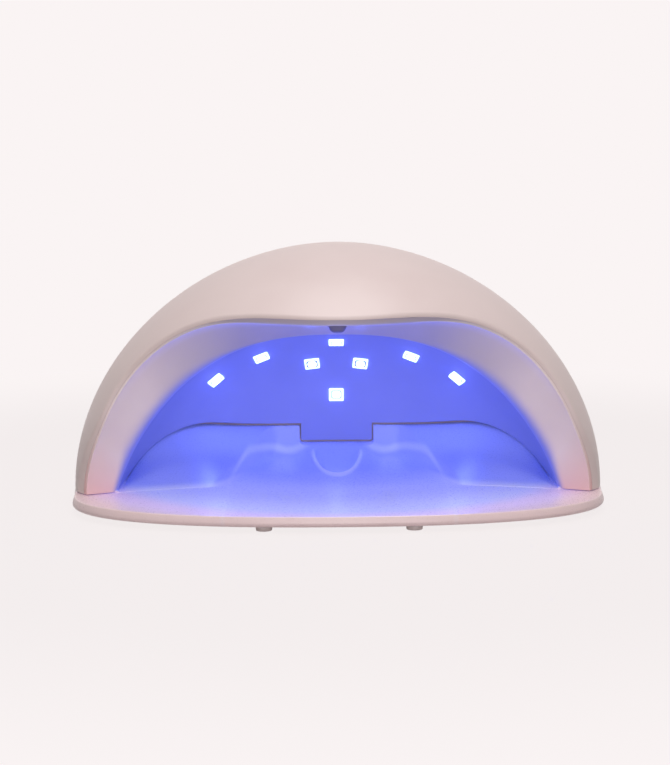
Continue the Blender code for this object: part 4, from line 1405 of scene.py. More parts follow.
@dataclass
class Bezel:
    """Funnel from behind the visor's lip in to the bowl."""

    dome: Dome
    bowl: Bowl
    wall: float = 1.5 * MM
    lip_gap: float = 0.06 * MM
    crest_setback: float = 2.4 * MM
    flank_setback: float = 0.12 * MM
    foot_setback: float = 0.45 * MM
    drop_power: float = 1.3
    crest_nose: float = 3.3 * MM
    flank_nose: float = 0.7 * MM
    edge_round: float = 0.35 * MM
    flank_lean: tuple[float, float] = (0.25, 0.35)
    foot_lean: tuple[float, float] = (0.86, 0.12)
    most_roll: float = 0.6
    back_shares: tuple[float, ...] = (1.0, 0.6, 0.3)
    edge_steps: int = 4
    columns: int = 144
    face_rows: int = 28
    roll_rows: int = 12

    def setback(self, arch: float) -> float:
        """How far the funnel starts behind the lip's edge, almost flush with it along the flanks.

        Args:
            arch: Angle over the arch.

        Returns:
            Distance behind the lip's edge.
        """
        lean = abs(math.cos(arch))
        flank = blend(self.crest_setback, self.flank_setback, eased(lean, *self.flank_lean))
        return blend(flank, self.foot_setback, eased(lean, *self.foot_lean))

    def nose(self, arch: float) -> float:
        """Height of the funnel's upright edge under the lip."""
        return blend(self.crest_nose, self.flank_nose, eased(abs(math.cos(arch)), *self.flank_lean))

    def point(self, share: float, arch: float, behind: float = 0.0, drop: float = 0.0) -> Vector:
        """Point on the funnel, from the lip in to the bowl's front edge.

        Args:
            share: Share of the way in.
            arch: Angle over the arch.
            behind: How far behind the face the point lies.
            drop: Height of the nose under the lip.

        Returns:
            The point, from the centre of the dome.
        """
        inset = self.dome.lip_at(arch) + self.lip_gap + drop
        lip = self.dome.edge_point(arch, inset, self.setback(arch) + behind)
        edge = self.bowl.point(0.0, arch, behind)
        edge.y -= SEAT_GAP
        point = lip.lerp(edge, share)
        point.z = blend(lip.z, edge.z, share ** self.drop_power)
        return point

    def section(self, arch: float) -> list[Vector]:
        """Wall round one ray: nose, funnel face, round-over into the bowl and the back.

        Args:
            arch: Angle over the arch.

        Returns:
            Points of the wall in turn, closed.
        """
        inset = self.dome.lip_at(arch) + self.lip_gap
        setback = self.setback(arch)
        edge_at = self.dome.edge_point
        top = edge_at(arch, inset, setback + self.wall)
        points = [top]
        for cos, sin in quarter(self.edge_steps):
            points.append(edge_at(
                arch, inset + self.edge_round * (1 - cos), setback + self.edge_round * (1 - sin)
            ))
        nose = self.nose(arch)
        lip, corner = self.point(0.0, arch, drop=nose), self.point(1.0, arch, drop=nose)
        roll = self.bowl.roll(arch)
        reach = min(self.most_roll, roll / max((corner - lip).length, MM))
        for row in range(self.face_rows + 1):
            share = (1 - reach) * row / self.face_rows
            points.append(self.point(share, arch, drop=nose))
        start = points[-1]
        bend = self.bowl.point(0.0, arch)
        end = self.bowl.point(self.bowl.turn_at(roll), arch)
        points += [
            curve(start, bend, end, row / self.roll_rows) for row in range(1, self.roll_rows + 1)
        ]
        points.append(self.bowl.point(self.bowl.turn_at(roll), arch, self.wall))
        points += [self.point(share * (1 - reach), arch, self.wall) for share in self.back_shares]
        return points + [top]

    def build(self, hole: Piece) -> Piece:
        """Bezel with its sensor hole, in its finish.

        Args:
            hole: Tool body of the sensor's hole.

        Returns:
            The finished bezel.
        """
        bezel = arched("mouth_funnel", self.section, self.columns)
        combine(bezel, hole)
        return complete(bezel, BEZEL_ABS.material(), Body.HEAD, "bezel_plastic", "mouth_bezel")


@dataclass
class HandSensor:
    """Dark lens in the bezel's roof that sees a hand come in."""

    bezel: Bezel
    share: float = 0.27
    radius: float = 3.8 * MM
    proud: float = 6.1 * MM
    flange_radius: float = 5.2 * MM
    flange_thickness: float = 1.2 * MM
    hole_gap: float = 0.15 * MM
    shoulder_share: float = 0.35
    tip_share: float = 0.3
    nose_steps: int = 9
    sides: int = 56

    def place(self) -> Matrix:
        """Placing matrix on the funnel's roof, Z down into the mouth."""
        below = Vector((0.0, -self.bezel.dome.side_reach, 0.0))
        return HEAD_PLACE @ surface_frame(self.bezel.point, self.share, math.pi / 2, below)

    def hole(self) -> Piece:
        """Tool body of the hole in the funnel."""
        profile = [(self.radius + self.hole_gap, height) for height in (-MARGIN, MARGIN)]
        return turned("sensor_hole_tool", profile, self.sides, self.place())

    def build(self) -> Piece:
        """Lens with its flange and rounded nose.

        Returns:
            The finished lens.
        """
        front = -self.bezel.wall - SEAT_GAP
        shoulder, tip = self.shoulder_share, self.tip_share
        profile = [
            (self.flange_radius, front - self.flange_thickness), (self.flange_radius, front),
            (self.radius, front), (self.radius, self.proud * shoulder),
        ]
        profile += [
            (self.radius * (tip + (1 - tip) * cos), self.proud * (shoulder + (1 - shoulder) * sin))
            for cos, sin in quarter(self.nose_steps)[1:-1]
        ]
        lens = turned("sensor_lens", profile, self.sides, self.place())
        return complete(lens, SENSOR_ACRYLIC.material(), Body.HEAD, "smoked_window", "sensor_window")


@dataclass
class LampArray:
    """Eight UV lamps set into windows of the bowl."""

    bowl: Bowl
    half_width: float = 3.2 * MM
    half_length: float = 2.9 * MM
    corner: float = 0.45 * MM
    proud: float = 0.9 * MM
    lens_height: float = 0.8 * MM
    lens_shift: float = 0.35 * MM
    rim: float = 0.8 * MM
    groove: float = 0.6 * MM
    groove_depth: float = 0.2 * MM
    clear_groove: str = "pair"
    faint_groove: float = 3.0
    bevel: float = 0.12 * MM
    bevel_height: float = 0.15 * MM
    lens_corner: float = 0.6 * MM
    draft: float = 0.05 * MM
    crown_levels: tuple[tuple[float, float, float], ...] = (
        (0.05 * MM, 0.6 * MM, 0.3), (0.35 * MM, 0.5 * MM, 0.75), (0.9 * MM, 0.25 * MM, 1.0)
    )
    lens_from: float = 0.4
    groove_from: float = 0.6
    window_reach: float = 6.0 * MM
    window_steps: int = 3
    corner_steps: int = 4
    crease_degrees: float = 40.0
    board_relief: float = 0.8 * MM
    window_gap: float = 0.1 * MM
    spots: dict[str, tuple[float, float]] = field(default_factory=lambda: {
        "back": (75.0, 90.0), "pair": (60.0, 79.0), "top": (45.5, 90.0),
        "inner": (48.0, 62.0), "outer": (45.0, 43.5),
    })
    drives: dict[str, float] = field(default_factory=lambda: {
        "back": 0.2, "pair": 0.55, "top": 0.25, "inner": 0.95, "outer": 1.9,
    })

    def places(self) -> dict[str, Matrix]:
        """Placing matrix of each lamp, Z into the hollow and Y up the wall.

        Returns:
            Matrices by the name of the lamp.
        """
        heart = Vector((0.0, 0.0, self.bowl.height / 2))
        found = {}
        for name, (turn, arch) in self.spots.items():
            sides = {"": 0} if arch == 90.0 else {"_left": -1, "_right": 1}
            for ending, side in sides.items():
                angle = math.radians(90.0 - side * (90.0 - arch))
                found[name + ending] = HEAD_PLACE @ surface_frame(
                    self.bowl.point, math.radians(turn), angle, heart
                )
        return found

    def windows(self) -> list[Piece]:
        """Tool bodies of the windows in the bowl.

        Returns:
            One body for each lamp.
        """
        gap, reach = self.window_gap, self.window_reach
        outline = rounded_rectangle(
            self.half_width + gap, self.half_length + gap, self.corner + gap, self.window_steps
        )
        return [
            raised(f"window_tool_{name}", outline, -reach, reach, place)
            for name, place in self.places().items()
        ]

    def model(self) -> Piece:
        """One lamp at the origin: a square package with a domed lens in a groove.

        Returns:
            The painted lamp.
        """
        back = -self.bowl.wall - self.board_relief + SEAT_GAP
        top, floor, shift = self.proud, self.proud - self.groove_depth, self.lens_shift
        round_lens, lens = self.lens_corner, self.rim + self.groove
        # Inset from the package's side, added corner radius, height and shift up the wall, level by level.
        levels = [
            (0.0, 0.0, back, 0.0), (0.0, 0.0, top - self.bevel_height, 0.0), (self.bevel, 0.0, top, 0.0),
            (self.rim - self.draft, round_lens, top, shift), (self.rim, round_lens, floor, shift),
            (lens, round_lens, floor, shift),
        ]
        levels += [
            (lens + inset, rounder, top + share * self.lens_height, shift)
            for inset, rounder, share in self.crown_levels
        ]
        loops = []
        for inset, rounder, _, up in levels:
            loop = rounded_rectangle(
                self.half_width - inset, self.half_length - inset, self.corner + rounder, self.corner_steps
            )
            loops.append([(x, y + up) for x, y in loop])
        lamp = stacked("lamp_model", loops, [level[2] for level in levels], Matrix.Identity(4))
        self.paint(lamp)
        smooth(lamp, self.crease_degrees)
        return lamp

    def paint(self, lamp: Piece) -> None:
        """Give the lens its own material, and the groove round it a dim one.

        Args:
            lamp: Lamp at the origin.
        """
        for face in lamp.data.polygons:
            x, y, z = face.center
            within = min(self.half_width - abs(x), self.half_length - abs(y))
            if z > self.proud + self.lens_from * self.lens_height:
                face.material_index = 1
            elif z < self.proud - PROBE and within > self.groove_from * self.rim:
                face.material_index = 2

    def finishes(self) -> dict[str, list[Material]]:
        """Package, lens and groove materials by kind of spot, the side lamps driven harder.

        Returns:
            Materials in the order of the face indices.
        """
        package, clear = LIT_PACKAGE.material(), LENS_GROOVE.material()
        faint = replace(
            LENS_GROOVE, name=f"{LENS_GROOVE.name}_faint", strength=self.faint_groove
        ).material()
        found = {}
        for kind, drive in self.drives.items():
            lens = replace(LIT_LENS, name=f"{LIT_LENS.name}_{kind}", strength=LIT_LENS.strength * drive)
            found[kind] = [package, lens.material(), clear if kind == self.clear_groove else faint]
        return found

    def build(self) -> list[Piece]:
        """Copy the lamp to every spot.

        Returns:
            The eight lamps.
        """
        model = self.model()
        finishes = self.finishes()
        lamps = []
        for name, place in self.places().items():
            lamp = model.copy()
            lamp.data = model.data.copy()
            lamp.name = lamp.data.name = f"lamp_{name}"
            bpy.context.scene.collection.objects.link(lamp)
            lamp.data.transform(place)
            dress(lamp, *finishes[name.split("_")[0]])
            lamps.append(seat(lamp, Body.HEAD, "led_lens", f"led_{name}"))
        bpy.data.objects.remove(model)
        return lamps


@dataclass
class Tray:
    """Plate with the hand pad that rises to meet the bowl, on four feet."""

    dome: Dome
    bowl: Bowl
    overhang: float = 0.5 * MM
    front_reach: float = 72.8 * MM
    nose_start: float = 20.0 * MM
    nose_side_inset: float = 1.5 * MM
    nose_roundness: float = 2.4
    thickness: float = 4.2 * MM
    nose_slope: float = 0.8 * MM
    band: float = 0.4 * MM
    undercut: float = 1.4 * MM
    edge_round: float = 0.4 * MM
    crease_reach: float = 4.0 * MM
    crease_sweep: float = 16.5 * MM
    wing_start: float = 45.0 * MM
    wing_taper: float = 0.32
    wing_blend: float = 5.0 * MM
    wing_curve: float = 1.1
    wing_toe: float = 0.12 * MM
    finger_x: float = 36.0 * MM
    finger_pitch: float = 26.0 * MM
    bay_run: float = 18.0 * MM
    bay_curve: float = 2.6
    bay_mound: float = 4.8 * MM
    bay_start: float = 4.0 * MM
    bay_length: float = 46.0 * MM
    bay_sink: float = 0.08 * MM
    tongue_half_width: float = 12.2 * MM
    tongue_tip: float = 15.0 * MM
    tongue_nose: float = 25.0 * MM
    tongue_edge: float = 4.5 * MM
    tongue_root: float = 6.6 * MM
    ridge_x: float = 10.4 * MM
    ridge_y: float = 45.0 * MM
    ridge_run: float = 31.0 * MM
    ridge_width: float = 1.1 * MM
    ridge_height: float = 1.3 * MM
    ridge_fade: float = 8.0 * MM
    ridge_band: float = 0.5
    lead_slope: float = 3.0
    pad_root: float = 2.0 * MM
    below_slope: float = 0.4
    sole_inset: float = 2 * MM
    top_run: float = MM
    notch_top: float = 40.0 * MM
    level_normal: float = 0.9999
    column_bunching: float = 1.25
    footprint_steps: int = 96
    undercut_steps: int = 6
    edge_steps: int = 5
    socket_sides: int = 40
    columns: int = 290
    rows: int = 170
    nose_steps: int = 48
    flank_steps: int = 8
    tail_steps: int = 64

    def pad_height(self, x: float, y: float) -> float:
        """Height of the hand pad, which goes on below the plate's top outside its edge.

        Args:
            x: Place across the tray.
            y: Place along it.

        Returns:
            Height above the plate's top.
        """
        span = abs(x)
        outline = self.bowl.outline_y(x)
        top = self.bowl.seam_at(outline) if outline > self.bowl.seam_rise_start else MM
        crease = -self.crease_reach - self.crease_sweep * (span / self.bowl.half_width) ** 2
        rise = min(1.0, (y - crease) / max(MM, outline - crease))
        if rise > 0:
            slope = self.wing_toe + max(0.0, top - self.wing_toe) * rise ** self.wing_curve
        else:
            slope = self.wing_toe + self.lead_slope * (y - crease)
        wall = min(1.0, max(0.0, 1 - (outline - y) / self.bay_run)) ** self.bay_curve
        wave = (1 + math.cos(2 * math.pi * (span - self.finger_x) / self.finger_pitch)) / 2
        mound = self.bay_mound * wave * eased(y, self.bay_start, self.bay_length)
        bay = blend(mound, top, wall) - self.bay_sink
        wing = smooth_step((span - self.wing_start + self.wing_taper * y) / self.wing_blend)
        return max(blend(bay, slope, wing), self.tongue_height(x, y)) + self.ridge_at(x, y)

    def tongue_height(self, x: float, y: float) -> float:
        """Height of the tongue between the finger bays.

        Args:
            x: Place across the tray.
            y: Place along it.

        Returns:
            Height above the plate's top.
        """
        along = y - self.tongue_tip
        if along <= 0:
            return -PROBE + self.below_slope * along
        nose = max(0.0, 1 - along / self.tongue_nose)
        inside = self.tongue_half_width * round_off(nose, 2) - abs(x)
        if inside < 0:
            return self.below_slope * inside
        slope = self.tongue_root * along / (self.bowl.outline_y(0.0) - self.tongue_tip)
        return smooth_step(inside / self.tongue_edge) * slope

    def ridge_at(self, x: float, y: float) -> float:
        """Height of the fine U-shaped ridge round the tongue's nose, which fades out towards the tab.

        Args:
            x: Place across the tray.
            y: Place along it.

        Returns:
            Height above the pad.
        """
        across = abs(x) / self.ridge_x
        ahead = max(0.0, self.ridge_y - y) / self.ridge_run
        reach = math.hypot(across, ahead)
        if abs(reach - 1) > self.ridge_band:
            return 0.0
        steepness = math.hypot(across / self.ridge_x, ahead / self.ridge_run) / reach
        line = math.exp(-(((reach - 1) / steepness) / self.ridge_width) ** 2)
        fade = smooth_step((self.ridge_y + self.ridge_fade - y) / self.ridge_fade)
        return self.ridge_height * line * fade

    def outline(self, nose_inset: float, tail_inset: float) -> Outline:
        """Plan of the plate: a squarish nose in front, eased into the dome's footprint behind.

        Args:
            nose_inset: How far inside the nose.
            tail_inset: How far inside the tail.

        Returns:
            Points of the outline in turn.
        """
        nose = self.front_reach - self.nose_start - nose_inset
        tail_half = self.dome.half_width + self.overhang - tail_inset
        nose_half = self.dome.half_width + self.overhang - self.nose_side_inset - nose_inset
        tail = self.dome.depth + self.overhang - tail_inset
        power = 2 / self.nose_roundness
        right = [
            (nose_half * sin ** power, -self.nose_start - nose * cos ** power)
            for cos, sin in quarter(self.nose_steps)[:-1]
        ]
        for step in range(self.flank_steps):
            share = step / self.flank_steps
            half = blend(nose_half, tail_half, smooth_step(share))
            right.append((half, -self.nose_start * (1 - share)))
        right += [(tail_half * cos, tail * sin) for cos, sin in quarter(self.tail_steps)]
        return right + [(-x, y) for x, y in reversed(right[1:-1])]

    def plate(self) -> Piece:
        """Plate with a rounded underside, a sloped rim and a crisp rounded top edge.

        Returns:
            The closed plate.
        """
        brow = -self.thickness + self.undercut + self.band
        sole = self.undercut + self.sole_inset
        # Inset of the nose, inset of the tail and height, level by level.
        levels = [(sole, sole, -self.thickness)]
        for cos, sin in quarter(self.undercut_steps):
            inset = self.undercut * (1 - sin)
            levels.append((inset, inset, -self.thickness + self.undercut * (1 - cos)))
        levels.append((0.0, 0.0, brow))
        short = 1 + self.edge_round / brow
        start = Vector((self.nose_slope * short, self.overhang * short, brow * (1 - short)))
        bend = Vector((self.nose_slope, self.overhang, 0.0))
        end = bend + Vector((self.edge_round, self.edge_round, 0.0))
        levels += [
            tuple(curve(start, bend, end, step / self.edge_steps)) for step in range(self.edge_steps + 1)
        ]
        levels.append((end.x + self.top_run, end.y + self.top_run, 0.0))
        loops = [self.outline(nose, tail) for nose, tail, _ in levels]
        return stacked("tray", loops, [level[2] for level in levels], TRAY_PLACE)

    def pad(self) -> Piece:
        """Hand pad trimmed to the bowl's footprint and notched for its tab.

        Returns:
            The pad, with a root in the plate.
        """
        bowl = self.bowl
        half = bowl.half_width + bowl.wall + MARGIN
        front = -bowl.front_reach - MARGIN
        back = bowl.depth - bowl.front_reach + bowl.wall + MARGIN

        def point(column: int, row: int) -> Vector:
            """Point of the pad's top, or of its root in the two rows after that.

            Args:
                column: Column of the grid.
                row: Row of the grid.

            Returns:
                The point in its place.
            """
            share = 2 * column / self.columns - 1
            x = half * math.copysign(abs(share) ** self.column_bunching, share)
            if row > self.rows:
                y = back if row == self.rows + 1 else front
                return TRAY_PLACE @ Vector((x, y, -self.pad_root))
            y = blend(front, back, row / self.rows)
            return TRAY_PLACE @ Vector((x, y, max(-self.pad_root / 2, self.pad_height(x, y))))

        def wrapped(column: int, row: int) -> Vector:
            """Point of the pad, whose last row is its first again."""
            return point(column, 0 if row == self.rows + 3 else row)

        pad = lattice("pad_tool", wrapped, self.columns, self.rows + 3)
        steps = self.footprint_steps
        ends = [bowl.point(math.pi / 2 * step / steps, 0.0, bowl.wall) for step in range(steps + 1)]
        right = [(end.x, end.y) for end in ends]
        footprint = right + [(-x, y) for x, y in reversed(right[:-1])]
        low, high = -self.pad_root - MARGIN, bowl.seam_height + MARGIN
        combine(pad, raised("footprint_tool", footprint, low, high, TRAY_PLACE), Cut.TRIM)
        combine(pad, self.notch())
        return pad

    def notch(self) -> Piece:
        """Tool body of the slot that the bowl's tab hangs into.

        Returns:
            The tool body.
        """
        foot = self.bowl.tab_foot_line(self.bowl.seam_gap)
        half = foot[0][0]
        outline = [(half, self.notch_top), (-half, self.notch_top), *reversed(foot)]
        back = self.bowl.outline_y(0.0)
        front = back - self.bowl.tab_half_width
        return raised("notch_tool", outline, front, back + MARGIN, TRAY_PLACE @ UPRIGHT)

    def sockets(self) -> list[Piece]:
        """Tool bodies of the foot sockets and the magnet pockets, round their own solids.

        Returns:
            One body for each foot and magnet.
        """
        tools = []
        for name in FOOT_NODES + MAGNET_NODES:
            low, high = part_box(name)
            upward = name in MAGNET_NODES
            radius = (high.x - low.x) / 2 * (1.0 if upward else Feet.spread) + SEAT_GAP
            start = low.z - SEAT_GAP if upward else low.z - MARGIN
            end = PLATE_TOP + MARGIN if upward else high.z + SEAT_GAP
            place = Matrix.Translation(((low.x + high.x) / 2, (low.y + high.y) / 2, 0.0))
            profile = [(radius, start), (radius, end)]
            tools.append(turned("socket_tool", profile, self.socket_sides, place))
        return tools

    def build(self) -> Piece:
        """Tray as one moulding, in its finish.

        Returns:
            The finished tray.
        """
        tray = self.plate()
        combine(tray, self.pad(), Cut.JOIN)
        combine(tray, fuse(self.sockets()))
        smooth(tray)
        dress(tray, TRAY_ABS.material())
        for face in tray.data.polygons:
            if face.normal.z > self.level_normal and abs(face.center.z - PLATE_TOP) < PROBE:
                face.use_smooth = False
        return seat(tray, Body.TRAY, "tray_plastic", "base_tray")


@dataclass
class Feet:
    """Small moulded rubber feet, a little narrower at the floor."""

    spread: float = 1.2
    taper: float = 0.35 * MM
    edge_round: float = 0.3 * MM
    sole_inset: float = 1.2 * MM
    bevel: float = 0.2 * MM
    edge_steps: int = 3
    sides: int = 40

    def build(self) -> list[Piece]:
        """Turn a foot in the place of each solid foot.

        Returns:
            The four feet.
        """
        feet = []
        rubber = FOOT_RUBBER.material()
        for name in FOOT_NODES:
            low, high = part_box(name)
            radius = (high.x - low.x) / 2 * self.spread
            place = Matrix.Translation(((low.x + high.x) / 2, (low.y + high.y) / 2, 0.0))
            profile = [(radius - self.taper - self.sole_inset, low.z)]
            profile += [
                (radius - self.taper - self.edge_round * (1 - sin), low.z + self.edge_round * (1 - cos))
                for cos, sin in quarter(self.edge_steps)
            ]
            profile += [(radius, high.z - self.bevel), (radius - self.bevel, high.z)]
            foot = turned(name.replace("foot", "pad_foot"), profile, self.sides, place)
            feet.append(complete(foot, rubber, Body.TRAY, "foot_rubber", name))
        return feet


@dataclass
class ControlPanel:
    """Display and three timer buttons on the back of the crest."""

    dome: Dome
    set_back: float = 37.0 * MM
    board_depth: float = 13.0 * MM
    button_pitch: float = 18.0 * MM
    button_y: float = -9.0 * MM
    button_radius: float = 5.5 * MM
    button_proud: float = 0.8 * MM
    button_crown: float = 0.5 * MM
    slide_gap: float = 0.3 * MM
    flange_width: float = 0.9 * MM
    flange_thickness: float = 0.8 * MM
    stem_radius: float = 1.4 * MM
    switch_height: float = 3.0 * MM
    stem_overlap: float = 0.8 * MM
    chamfer: float = 0.4 * MM
    numeral_height: float = 4.6 * MM
    numeral_relief: float = 0.12 * MM
    display_y: float = 9.5 * MM
    display_half_width: float = 15.0 * MM
    display_half_length: float = 6.5 * MM
    display_corner: float = 2.5 * MM
    digit_height: float = 6.0 * MM
    digit_width: float = 3.4 * MM
    digit_pitch: float = 6.2 * MM
    stroke: float = 0.75 * MM
    digit_sink: float = 0.25 * MM
    digit_proud: float = 0.06 * MM
    tip_share: float = 0.9
    tip_steps: int = 3
    window_gap: float = 0.15 * MM
    cap_inset: float = 0.4 * MM
    crown_steps: int = 6
    rim_steps: int = 24
    times: tuple[str, ...] = ("30", "60", "99")
    shown: str = "60"
    sides: int = 64

    def __post_init__(self) -> None:
        """Work out the panel's tilted frame."""
        self.place = self.dome.frame_at(0.0, self.set_back)

    def depth_at(self, x: float, y: float, inset: float = 0.0) -> float:
        """Height of the dome's surface over a point of the panel's plane.

        Args:
            x: Place across the panel.
            y: Place along it.
            inset: How far inside the dome's skin.

        Returns:
            Height above the panel's plane.
        """
        to_dome = HEAD_PLACE.inverted() @ self.place

        def under_surface(height: float) -> float:
            """How far a point over the panel's plane lies below the dome's surface."""
            point = to_dome @ Vector((x, y, height))
            return self.dome.height_at(point.x, point.y, inset) - point.z
        return solve(under_surface, -self.dome.height / 2, self.dome.height / 2)

    def button_place(self, index: int) -> Matrix:
        """Placing matrix of a button on the panel's plane."""
        return self.place @ Matrix.Translation(((index - 1) * self.button_pitch, self.button_y, 0.0))

    def display_place(self) -> Matrix:
        """Placing matrix of the display on the panel's plane."""
        return self.place @ Matrix.Translation((0.0, self.display_y, 0.0))

    def holes(self) -> list[Piece]:
        """Tool bodies of the button holes, flared at the skin, and of the display's opening.

        Returns:
            The tool bodies.
        """
        tools = []
        for index in range(len(self.times)):
            radius = self.button_radius + self.slide_gap
            skin = self.depth_at((index - 1) * self.button_pitch, self.button_y)
            profile = [
                (radius, -self.board_depth / 2),
                (radius, skin - self.chamfer),
                (radius + self.chamfer + MARGIN, skin + MARGIN),
            ]
            tools.append(turned("button_hole_tool", profile, self.sides, self.button_place(index)))
        return tools + [self.display_tool("display_tool", self.window_gap)]

    def display_tool(self, name: str, grow: float = 0.0) -> Piece:
        """Tool body in the display's outline.

        Args:
            name: Name of the body.
            grow: How far it lies outside the window.

        Returns:
            The prism through the dome's wall.
        """
        sizes = (self.display_half_width, self.display_half_length, self.display_corner)
        outline = rounded_rectangle(*(size + grow for size in sizes))
        return raised(name, outline, -self.board_depth / 2, MARGIN, self.display_place())

    def build_button(self, index: int) -> list[Piece]:
        """Cap with its flange and stem, and the number on it.

        Args:
            index: Place of the button in the row.

        Returns:
            The cap and its number.
        """
        name = self.times[index]
        body = Body[f"BUTTON_{name}"]
        x = (index - 1) * self.button_pitch
        flange = self.button_radius + self.slide_gap + self.flange_width
        rim = [math.tau * step / self.rim_steps for step in range(self.rim_steps)]
        spots = [(x + flange * math.cos(turn), self.button_y + flange * math.sin(turn)) for turn in rim]
        flange_top = min(self.depth_at(*spot, self.dome.wall) for spot in spots) - SEAT_GAP
        top = self.depth_at(x, self.button_y) + self.button_proud
        foot = -self.board_depth + SEAT_GAP + self.switch_height - self.stem_overlap
        profile = [
            (self.stem_radius, foot),
            (self.stem_radius, flange_top - self.flange_thickness),
            (flange, flange_top - self.flange_thickness),
            (flange, flange_top),
            (self.button_radius, flange_top),
        ]
        profile += [
            (self.button_radius - self.button_crown * (1 - cos), top - self.button_crown * (1 - sin))
            for cos, sin in quarter(self.crown_steps)
        ]
        profile.append((self.button_radius - self.button_crown - self.cap_inset, top))
        cap = turned(f"button_cap_{name}", profile, self.sides, self.button_place(index))
        complete(cap, BUTTON_ABS.material(), body, "button_plastic", f"timer_{name}_button")
        return [cap, self.build_numeral(name, index, top, body)]

    def build_numeral(self, name: str, index: int, top: float, body: Body) -> Piece:
        """Number printed on a cap as a thin raised film.

        Args:
            name: Number to print.
            index: Place of the button in the row.
            top: Height of the cap's top.
            body: The button's body.

        Returns:
            The finished number.
        """
        clear_selection()
        bpy.ops.object.text_add()
        text = bpy.context.object
        text.data.body = name
        text.data.align_x, text.data.align_y = "CENTER", "CENTER"
        text.data.size = self.numeral_height
        text.data.extrude = self.numeral_relief / 2
        pick(text)
        bpy.ops.object.convert(target="MESH")
        numeral = bpy.context.object
        numeral.name = numeral.data.name = f"button_numeral_{name}"
        turn = Matrix.Rotation(math.pi, 4, "Z")
        lift = Matrix.Translation((0.0, 0.0, top + self.numeral_relief / 2))
        numeral.data.transform(self.button_place(index) @ lift @ turn)
        close_up(numeral)
        dress(numeral, GREY_INK.material())
        return seat(numeral, body, "button_plastic")

    def build_display(self) -> list[Piece]:
        """Smoked window flush with the dome, and the lit digits on it.

        Returns:
            The window and its digits.
        """
        window = self.dome.moulding("display_glass")
        combine(window, self.display_tool("display_lens_tool"), Cut.TRIM)
        complete(window, SMOKED_ACRYLIC.material(), Body.HEAD, "smoked_window", "display_window")
        return [window, self.build_digits()]

    def build_digits(self) -> Piece:
        """Seven-segment digits that follow the window's skin.

        Returns:
            The digits as one piece.
        """
        lit = {"6": "afgedc", "0": "abcdef"}
        w, h, s = self.digit_width / 2, self.digit_height / 2, self.stroke / 2
        bars = {
            "a": (0.0, h, w - s, s), "d": (0.0, -h, w - s, s), "g": (0.0, 0.0, w - s, s),
            "b": (w, h / 2, s, h / 2 - s), "c": (w, -h / 2, s, h / 2 - s),
            "f": (-w, h / 2, s, h / 2 - s), "e": (-w, -h / 2, s, h / 2 - s),
        }
        segments = []
        for number, digit in enumerate(self.shown):
            middle = (number - (len(self.shown) - 1) / 2) * self.digit_pitch
            for key in lit[digit]:
                x, y, half_width, half_length = bars[key]
                # The display is read from behind the lamp, so the digits are turned round.
                at_x, at_y = -(middle + x), -y
                skin = self.depth_at(at_x, self.display_y + at_y)
                tip = min(half_width, half_length) * self.tip_share
                place = self.display_place() @ Matrix.Translation((at_x, at_y, skin))
                outline = rounded_rectangle(half_width, half_length, tip, self.tip_steps)
                segments.append(raised("digit_bar", outline, -self.digit_sink, self.digit_proud, place))
        digits = fuse(segments)
        digits.name = digits.data.name = "display_digits"
        dress(digits, LIT_DIGIT.material())
        return seat(digits, Body.HEAD, "display_panel")

    def build(self) -> list[Piece]:
        """Buttons, numbers and display.

        Returns:
            All pieces of the panel.
        """
        pieces = self.build_display()
        for index in range(len(self.times)):
            pieces += self.build_button(index)
        return pieces


